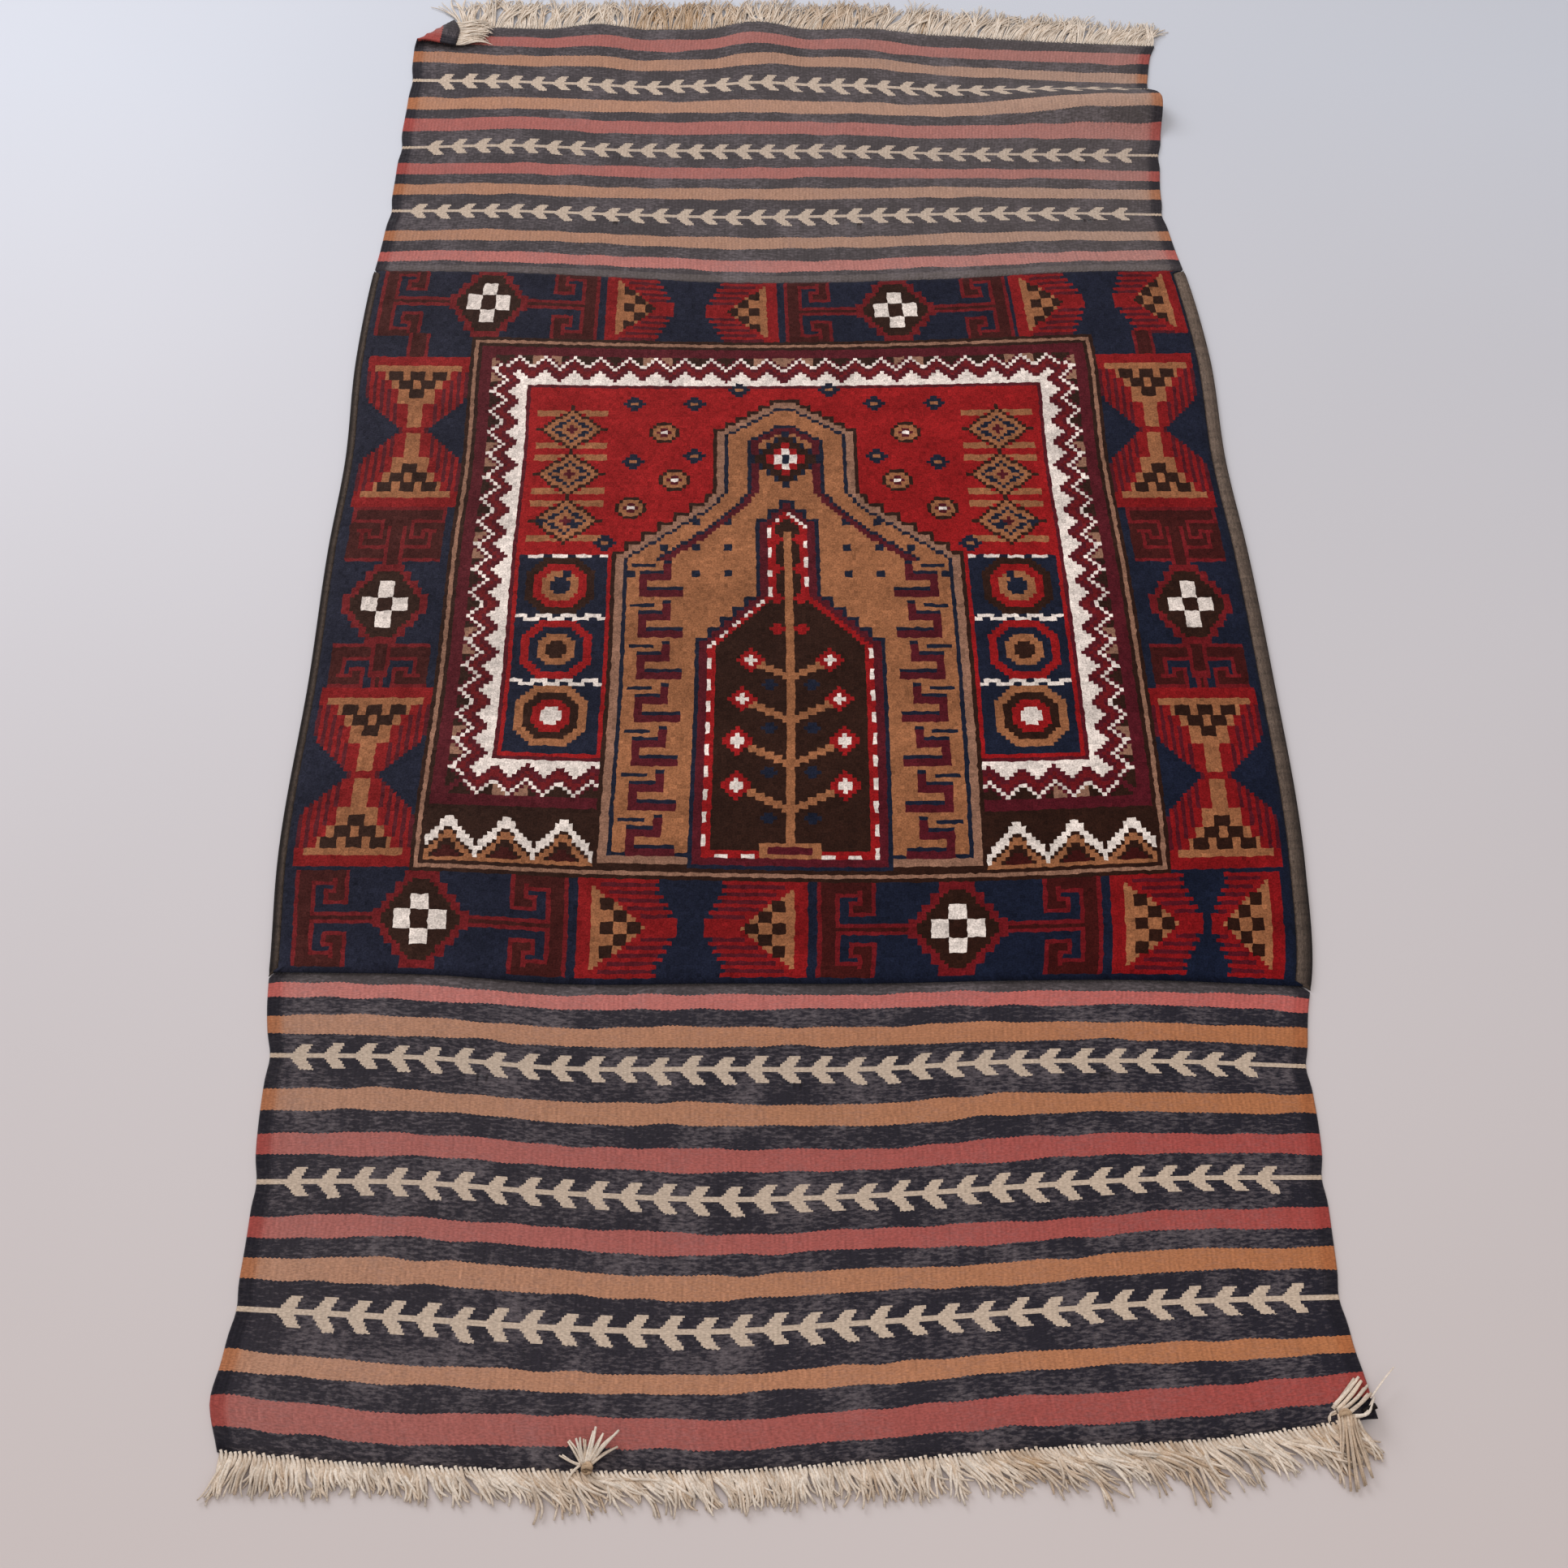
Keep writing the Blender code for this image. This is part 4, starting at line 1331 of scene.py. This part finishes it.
def ply_path(edge, heading, bend, reach, floor, stack, thick, ply, plies):
    """A ply's places past the cloth's edge: it bends as it goes, winds round the other plies of
    its bunch and comes down on the floor or on the folded corner."""
    share = np.arange(PLY_STEPS) / (PLY_STEPS - 1)
    angle = math.atan2(heading[0], heading[1]) + np.clip(bend, -MOST_BEND, MOST_BEND)
    steps = np.column_stack([np.sin(angle), np.cos(angle)]) * reach / (PLY_STEPS - 1)
    steps[0] = 0
    twist = share * TWIST + ply * 2 * math.pi / plies
    spread = 0.6 * thick * (1 - 0.2 * share)
    aside = np.cos(twist) * spread + (ply - (plies - 1) / 2) * thick * 0.35
    flat = edge[:2] + np.cumsum(steps, axis=0) + aside[:, None] * (heading[1], -heading[0])
    rest = floor + thick + stack * np.sin(share * math.pi) + PLY_LAYER * (ply % 3)
    drop = ease(share * 2.6)
    height = edge[2] * (1 - drop) + rest * drop + np.sin(twist) * spread
    return np.column_stack([flat, np.maximum(height, thick * 0.6)])


def lying_paths(random, end, outward, table, plies, thick):
    """The paths of one end's plies, their radii, and their soil with painted shade in it."""
    across = np.linspace(-BUNCHES_TO, BUNCHES_TO, BUNCHES)
    full = np.full(BUNCHES, end)
    inward = ROOT_IN * random.uniform(0.3, 1.6, BUNCHES)
    root = place(across, full - outward * inward, np.full(BUNCHES, KILIM_THICK))
    height = np.full(BUNCHES, KILIM_THICK * LEAVES_AT)
    edge = place(across, full, height)
    behind = place(across, full - outward * 0.001, height)
    heading = edge - behind
    heading /= np.linalg.norm(heading, axis=1)[:, None]
    leans, lengths, soils_and_shade = smooth_read(table, edge[:, 0]).T
    swirl, sway, swell, piled, soil_and_shade = (
        slow_noise(random, edge[:, 0], longest, waves)
        for longest, waves in ((0.12, 6), (0.09, 6), (0.08, 6), (0.05, 5), (0.11, 6))
    )
    share = np.arange(PLY_STEPS) / (PLY_STEPS - 1)
    girth = np.interp(np.arange(PLY_STEPS + 1) - 1, (-1, 0, 3, PLY_STEPS - 1), PLY_GIRTHS)
    paths, radii, soiled_and_shaded = [], [], []
    for k in range(BUNCHES):
        if abs(heading[k, 2]) > MOST_UP:
            continue
        folded = heading[k, 1] * outward < 0.5
        lean = math.radians(leans[k] + LEAN_SWIRL * swirl[k] + random.normal(0, LEAN_STRAY))
        turn = FOLDED_TURN if folded else lean * outward
        floor = KILIM_THICK + FOLDED_CLEAR if folded else 0.0
        reach = lengths[k] / 1000 * (1 + LENGTH_SWELL * swell[k]) * random.uniform(*LENGTH_SHARES)
        reach *= FOLDED_SHARE if folded else 1
        stack = max(0, PILED * (1 + piled[k]) + random.normal(0, PILED_STRAY))
        side = np.array([heading[k, 1], -heading[k, 0], 0])
        for ply in range(plies):
            lane = ply - (plies - 1) / 2
            splay = lane * PLY_SPLAY + random.normal(0, SPLAY_STRAY)
            bend = turn * ease(0.22 + share * 1.9) + splay * share
            bend += random.normal(0, CURL_STRAY) * share**2
            bend += SWAY * sway[k] * np.sin(share * 3.6) * ease(share * 3)
            ply_reach = reach * random.uniform(*PLY_LENGTHS)
            path = ply_path(
                edge[k], heading[k], bend, ply_reach, floor, stack, thick, ply, plies
            )
            paths.append(np.vstack([root[k] + side * lane * ROOT_LANE + (0, 0, ROOT_UP), path]))
            radii.append(thick * girth * random.uniform(*PLY_THICKNESSES))
            # Soil with painted shade: the table's share, slow patches, each ply's own, and the
            # lowest ply's.
            own_soil_and_shade = soils_and_shade[k] + SOIL_SHADE_SWELL * soil_and_shade[k] + random.normal(0, SOIL_SHADE_STRAY)
            soiled_and_shaded.append(own_soil_and_shade + LOW_PLY_SHADE * (ply == 0))
    return paths, radii, soiled_and_shaded


def tied_path(places):
    """A smooth path through three places, given as x, y and the height over the cloth, in mm."""
    table = np.column_stack([(0, 0.5, 1), np.array(places) / 1000])
    points = smooth_read(table, np.linspace(0, 1, PLY_STEPS + 1))
    beside = np.maximum(points[:, 1], CLOTH_NEAR + TIED_INSIDE)
    points[:, 2] += KILIM_THICK + lift(points[:, 0], beside)
    points[:, 2] = np.maximum(points[:, 2], TIED_LOWEST)
    return points


def tied_paths(random):
    """The tied yarns of the near end, the knots round them, and the cord's end in the corner."""
    paths, radii, soiled_and_shaded = [], [], []
    for *places, radius, soil_and_shade in TIED_YARNS:
        for lane in (-0.5, 0.5):
            apart = np.array([lane * radius * 0.9, lane * radius * 0.5, lane * 0.6])
            paths.append(tied_path(np.array(places) + apart + random.normal(0, 0.5, (3, 3))))
            radii.append(np.linspace(0.8, 0.55, PLY_STEPS + 1) * radius / 1000)
            soiled_and_shaded.append(soil_and_shade + random.normal(0, 0.06))
    turns = np.linspace(0, 1.8 * math.pi, PLY_STEPS + 1)
    for x, y, height in KNOTS_OF_YARN:
        for tilt in (0.3, 1.0):
            rise = 0.8 * np.sin(turns + tilt)
            loop = np.column_stack([np.cos(turns), tilt * np.sin(turns), rise])
            paths.append(tied_path([(x, y, height)] * 3) + loop * KNOT_LOOP)
            radii.append(np.full(PLY_STEPS + 1, KNOT_YARN))
            soiled_and_shaded.append(0.8)
    *places, radius = CORD_END
    paths.append(tied_path(places))
    radii.append(np.full(PLY_STEPS + 1, radius / 1000))
    return paths, radii, soiled_and_shaded


def tie_fringe(name, end, outward, table, settings, seed, plies, thick, tied=False):
    """One end's fringe as a mesh of plies, each with its own tint."""
    random = np.random.default_rng(seed)
    paths, radii, soiled_and_shaded = lying_paths(random, end, outward, table, plies, thick)
    if tied:
        for whole, more in zip((paths, radii, soiled_and_shaded), tied_paths(random)):
            whole.extend(more)
    mesh, yarn = yarn_mesh(name, paths, radii)
    # Each ply is mixed towards the stain colour by its soil and its painted shade.
    share = np.clip(soiled_and_shaded, 0, 1)[:, None]
    tint = np.array(settings.fringe) * (1 - share) + np.array(settings.stain_and_shade) * share
    tint *= random.normal(1, 0.05, (len(tint), 1))
    tint = np.concatenate([tint, [settings.selvage_dark]])
    paint_corners(mesh, np.column_stack([tint[yarn], np.ones(len(yarn))]))
    return mesh


def fringe_material():
    """Undyed wool warp yarn, twisted: cream, dry and slightly dirty. The eye sees each ply."""
    material, tree, shader = new_material("undyed_warp_yarn")
    yarn = add_node(tree, "ShaderNodeAttribute", attribute_name="yarn_colour")
    where = add_node(tree, "ShaderNodeTexCoord").outputs["Object"]
    # The spun fibres, 1.4 mm across because real ones are too fine to show, and dirt, over 12 mm.
    fibres, tone = grain(tree, where, 0.0014, 3, (0.3, 0.7), (0.78, 1.12))
    _, dirt = grain(tree, where, 0.012, 3, (0.3, 0.55), (0.78, 1.0))
    shade = add_node(tree, "ShaderNodeMath", {0: tone, 1: dirt}, operation="MULTIPLY")
    finish_shader(
        tree, shader, yarn.outputs["Color"], shade.outputs[0],
        {"Height": fibres, "Strength": 0.5, "Distance": 0.0005},
        {"Roughness": 0.9, "Specular IOR Level": 0.2},
    )
    return material


# ---------------------------------------------------------------------------------------------
# The stage.

# The image's side and the focal length in its pixels, the sensor's side in millimetres, and the
# camera's place and how many degrees it looks down.
IMAGE = 1932
FOCAL_PIXELS = 2139.63
SENSOR = 36.0
CAMERA_PLACE = (-0.004, -0.972, 1.3372)
CAMERA_PITCH = 61.0
# The floor lies just below the rug, and its colour changes between these places along Y, to a
# blue-grey at the far end that is painted window light.
FLOOR_DROP = 0.0003
FLOOR_RUN = (-1.1, 0.7)


def floor_material(settings):
    """A painted floor: pale and plain, with a soft gloss, and a blue-grey painted window light
    towards the far end.
    """
    material, tree, shader = new_material("painted_floor")
    where = add_node(tree, "ShaderNodeTexCoord").outputs["Object"]
    # Slow changes in the paint, over 0.83 m.
    _, tone = grain(tree, where, 1 / 1.2, 2, (0.3, 0.7), (0.98, 1.02))
    spread = add_node(tree, "ShaderNodeSeparateXYZ", {0: where})
    run = add_node(
        tree, "ShaderNodeMapRange",
        {"Value": spread.outputs["Y"], "From Min": FLOOR_RUN[0], "From Max": FLOOR_RUN[1]},
    )
    # Painted window light: the floor turns blue-grey towards the far end.
    mixed = add_node(
        tree, "ShaderNodeMix",
        {"Factor": run.outputs[0], "A": (*settings.floor_near, 1), "B": (*settings.floor_far_window_tint, 1)},
        data_type="RGBA",
    )
    finish_shader(
        tree, shader, mixed.outputs["Result"], tone, None,
        {"Roughness": 0.45, "Specular IOR Level": 0.3},
    )
    return material


def area_light(name, spot, aim, size, watts, colour):
    """A soft square light that looks at a point."""
    data = bpy.data.lights.new(name, "AREA")
    data.size = size
    data.energy = watts
    data.color = colour
    light = add_object(name, data)
    light.location = spot
    light.rotation_euler = (Vector(aim) - Vector(spot)).to_track_quat("-Z", "Y").to_euler()


# ---------------------------------------------------------------------------------------------
# Settings, operators and panel.


class RugDyes(bpy.types.PropertyGroup):
    """The dyes of the knotted middle and of the flat-woven ends."""

    navy: colour_setting("Navy", "Ground of the main border", "#13192a")
    dark_red: colour_setting("Dark red", "Outlines of the border's motifs", "#661217")
    bright_red: colour_setting("Bright red", "Ground of the field", "#8c1013")
    madder: colour_setting("Madder red", "Ground of the border's triangles", "#7c1013")
    maroon: colour_setting("Maroon", "Bands and zigzags of the frame", "#4e101a")
    oxblood: colour_setting("Oxblood", "Inside of the hooked motifs", "#3a0e0c")
    camel: colour_setting("Camel", "Niche and triangles", "#935e3d")
    brown: colour_setting("Brown", "Niche's ground and checks", "#2a140c")
    ivory: colour_setting("Ivory", "Sawtooth, petals and zigzag", "#dfd1c5")
    guard: colour_setting("Guard", "Thin line round the frame", "#8a6450")
    weft_navy: colour_setting("Navy weft", "Ground of the flat-woven ends", "#1f1c25")
    weft_camel: colour_setting("Camel weft", "Camel stripes", "#ab6c44")
    rose: colour_setting("Rose weft", "Red stripes", "#a0463f")
    pink: colour_setting("Pink weft", "Pink stripes beside the pile", "#b15a52")
    cream: colour_setting("Cream weft", "Arrows", "#c3ae98")
    fleck: colour_setting("Fleck", "Pale streaks in the wefts", "#7a6f70")
    # The colour that the painted sheen pales the wefts and the knots towards.
    sheen_colour: colour_setting("Bleached", "What the light has turned the wefts to", "#a6968a")


class RugYarns(bpy.types.PropertyGroup):
    """The yarns of the edges and fringes."""

    fringe: colour_setting("Fringe", "Undyed warp yarn", "#eadbc9")
    # The stain colour also paints the shade on plies that lie low or in shadow.
    stain_and_shade: colour_setting("Stain", "Soiled warp yarn", "#b28f68")
    selvage_dark: colour_setting("Dark hair", "Outer wraps of the selvages", "#1c1512")
    selvage_light: colour_setting("Light hair", "Inner wraps of the selvages", "#66564a")
    left_cords: IntProperty(name="Left cords", description="Cords on the left", default=2, min=1)
    right_cords: IntProperty(name="Right cords", description="Cords on the right", default=4, min=1)


class RugStage(bpy.types.PropertyGroup):
    """The floor and the light."""

    floor_near: colour_setting("Near floor", "Floor at the near end", "#cdc0ba")
    # Painted window light: the far floor's blue-grey.
    floor_far_window_tint: colour_setting("Far floor", "Floor at the far end", "#c9cbd1")
    floor_size: length_setting("Floor size", "Side of the square floor", 12.0)


class WeaveRugEnds(bpy.types.Operator):
    """Weaves the striped flat-woven ends"""

    bl_idname = "rug.weave_ends"
    bl_label = "Weave the flat ends"

    def execute(self, context):
        dyes = context.scene.rug_dyes
        wool = flat_weave_material(dyes)
        near = weave_end(
            "flat_weave_near", NEAR_STRIPES, CLOTH_NEAR, PILE_NEAR, dyes, NEAR_SHEEN, SEED
        )
        far = weave_end(
            "flat_weave_far", FAR_STRIPES, PILE_FAR, CLOTH_FAR, dyes, FAR_SHEEN, SEED + 1
        )
        finish_piece("flat_weave_near", near, wool, ["rug_cloth"])
        finish_piece("flat_weave_far", far, wool, ["rug_cloth"])
        return {"FINISHED"}


class KnotRugPile(bpy.types.Operator):
    """Knots the patterned middle of the rug"""

    bl_idname = "rug.knot_pile"
    bl_label = "Knot the pile"

    def execute(self, context):
        mesh = weave_pile(context.scene.rug_dyes, SEED + 2)
        finish_piece("knotted_pile", mesh, pile_material(), ["rug_cloth"])
        return {"FINISHED"}


class WrapRugSelvages(bpy.types.Operator):
    """Overcasts both sides of the pile"""

    bl_idname = "rug.wrap_selvages"
    bl_label = "Wrap the selvages"

    def execute(self, context):
        hair = selvage_material()
        for k, side in enumerate(("left", "right")):
            mesh = wrap_selvage(side, context.scene.rug_yarns, SEED + 3 + k)
            node = f"selvage_{side}"
            finish_piece(f"selvage_cords_{side}", mesh, hair, [node])
        return {"FINISHED"}


class TieRugFringes(bpy.types.Operator):
    """Draws out the warp yarns at both ends"""

    bl_idname = "rug.tie_fringes"
    bl_label = "Draw out the fringes"

    def execute(self, context):
        yarns = context.scene.rug_yarns
        yarn = fringe_material()
        near = tie_fringe(
            "warp_fringe_near", CLOTH_NEAR, -1, NEAR_FRINGE, yarns, SEED + 5,
            plies=4, thick=0.0012, tied=True,
        )
        far = tie_fringe(
            "warp_fringe_far", CLOTH_FAR, 1, FAR_FRINGE, yarns, SEED + 6, plies=6, thick=0.00075
        )
        finish_piece("warp_fringe_near", near, yarn, ["fringe_near"])
        finish_piece("warp_fringe_far", far, yarn, ["fringe_far"])
        return {"FINISHED"}


class DeclareRugSheets(bpy.types.Operator):
    bl_idname = "rug.declare_sheets"
    bl_label = "Declare the sheets"

    def execute(self, context):
        return {"FINISHED"}


class SetRugStage(bpy.types.Operator):
    """Lays the floor and sets the light and the camera"""

    bl_idname = "rug.set_stage"
    bl_label = "Set the stage"

    def execute(self, context):
        settings = context.scene.rug_stage
        bm = bmesh.new()
        bmesh.ops.create_grid(bm, x_segments=1, y_segments=1, size=settings.floor_size / 2)
        bmesh.ops.translate(bm, verts=bm.verts, vec=(0, 0, -FLOOR_DROP))
        mesh = smooth_mesh(bm, "floor")
        mesh.materials.append(floor_material(settings))
        floor = add_object("floor", mesh)

        world = bpy.data.worlds.new("soft_room")
        world.use_nodes = True
        background = world.node_tree.nodes["Background"]
        background.inputs["Color"].default_value = (*linear("#eeeef2"), 1)
        background.inputs["Strength"].default_value = 0.62
        context.scene.world = world
        area_light("window", (-2.2, 2.6, 2.6), (-0.1, 0.1, 0), 2.4, 95, linear("#f2f6ff"))
        area_light("overhead", (0.3, -0.6, 3.2), (0, 0, 0), 3.0, 30, linear("#fff4ec"))

        data = bpy.data.cameras.new("camera")
        data.sensor_width = SENSOR
        data.lens = SENSOR * FOCAL_PIXELS / IMAGE
        camera = add_object("camera", data)
        camera.location = CAMERA_PLACE
        camera.rotation_euler = (math.radians(90 - CAMERA_PITCH), 0, 0)
        context.scene.camera = camera
        context.scene.view_settings.view_transform = "Standard"
        return {"FINISHED"}


class RugPanel(bpy.types.Panel):
    """Lists the rug's operators and settings"""

    bl_idname = "VIEW3D_PT_prayer_rug"
    bl_label = "Prayer rug"
    bl_space_type = "VIEW_3D"
    bl_region_type = "UI"
    bl_category = "Rug"

    def draw(self, context):
        for step in STEPS:
            self.layout.operator(step.bl_idname)
        for group in GROUPS:
            settings = getattr(context.scene, group)
            for name in settings.bl_rna.properties.keys():
                if name not in ("rna_type", "name"):
                    self.layout.prop(settings, name)


GROUPS = {"rug_dyes": RugDyes, "rug_yarns": RugYarns, "rug_stage": RugStage}
STEPS = (
    WeaveRugEnds, KnotRugPile, WrapRugSelvages, TieRugFringes, DeclareRugSheets, SetRugStage,
)


def register():
    for group in (*GROUPS.values(), *STEPS, RugPanel):
        bpy.utils.register_class(group)
    for name, group in GROUPS.items():
        setattr(bpy.types.Scene, name, PointerProperty(type=group))


def unregister():
    for name in GROUPS:
        delattr(bpy.types.Scene, name)
    for group in reversed((*GROUPS.values(), *STEPS, RugPanel)):
        bpy.utils.unregister_class(group)


def main():
    register()
    bpy.ops.rug.weave_ends()
    bpy.ops.rug.knot_pile()
    bpy.ops.rug.wrap_selvages()
    bpy.ops.rug.tie_fringes()
    bpy.ops.rug.declare_sheets()
    bpy.ops.rug.set_stage()


if __name__ == "__main__":
    main()
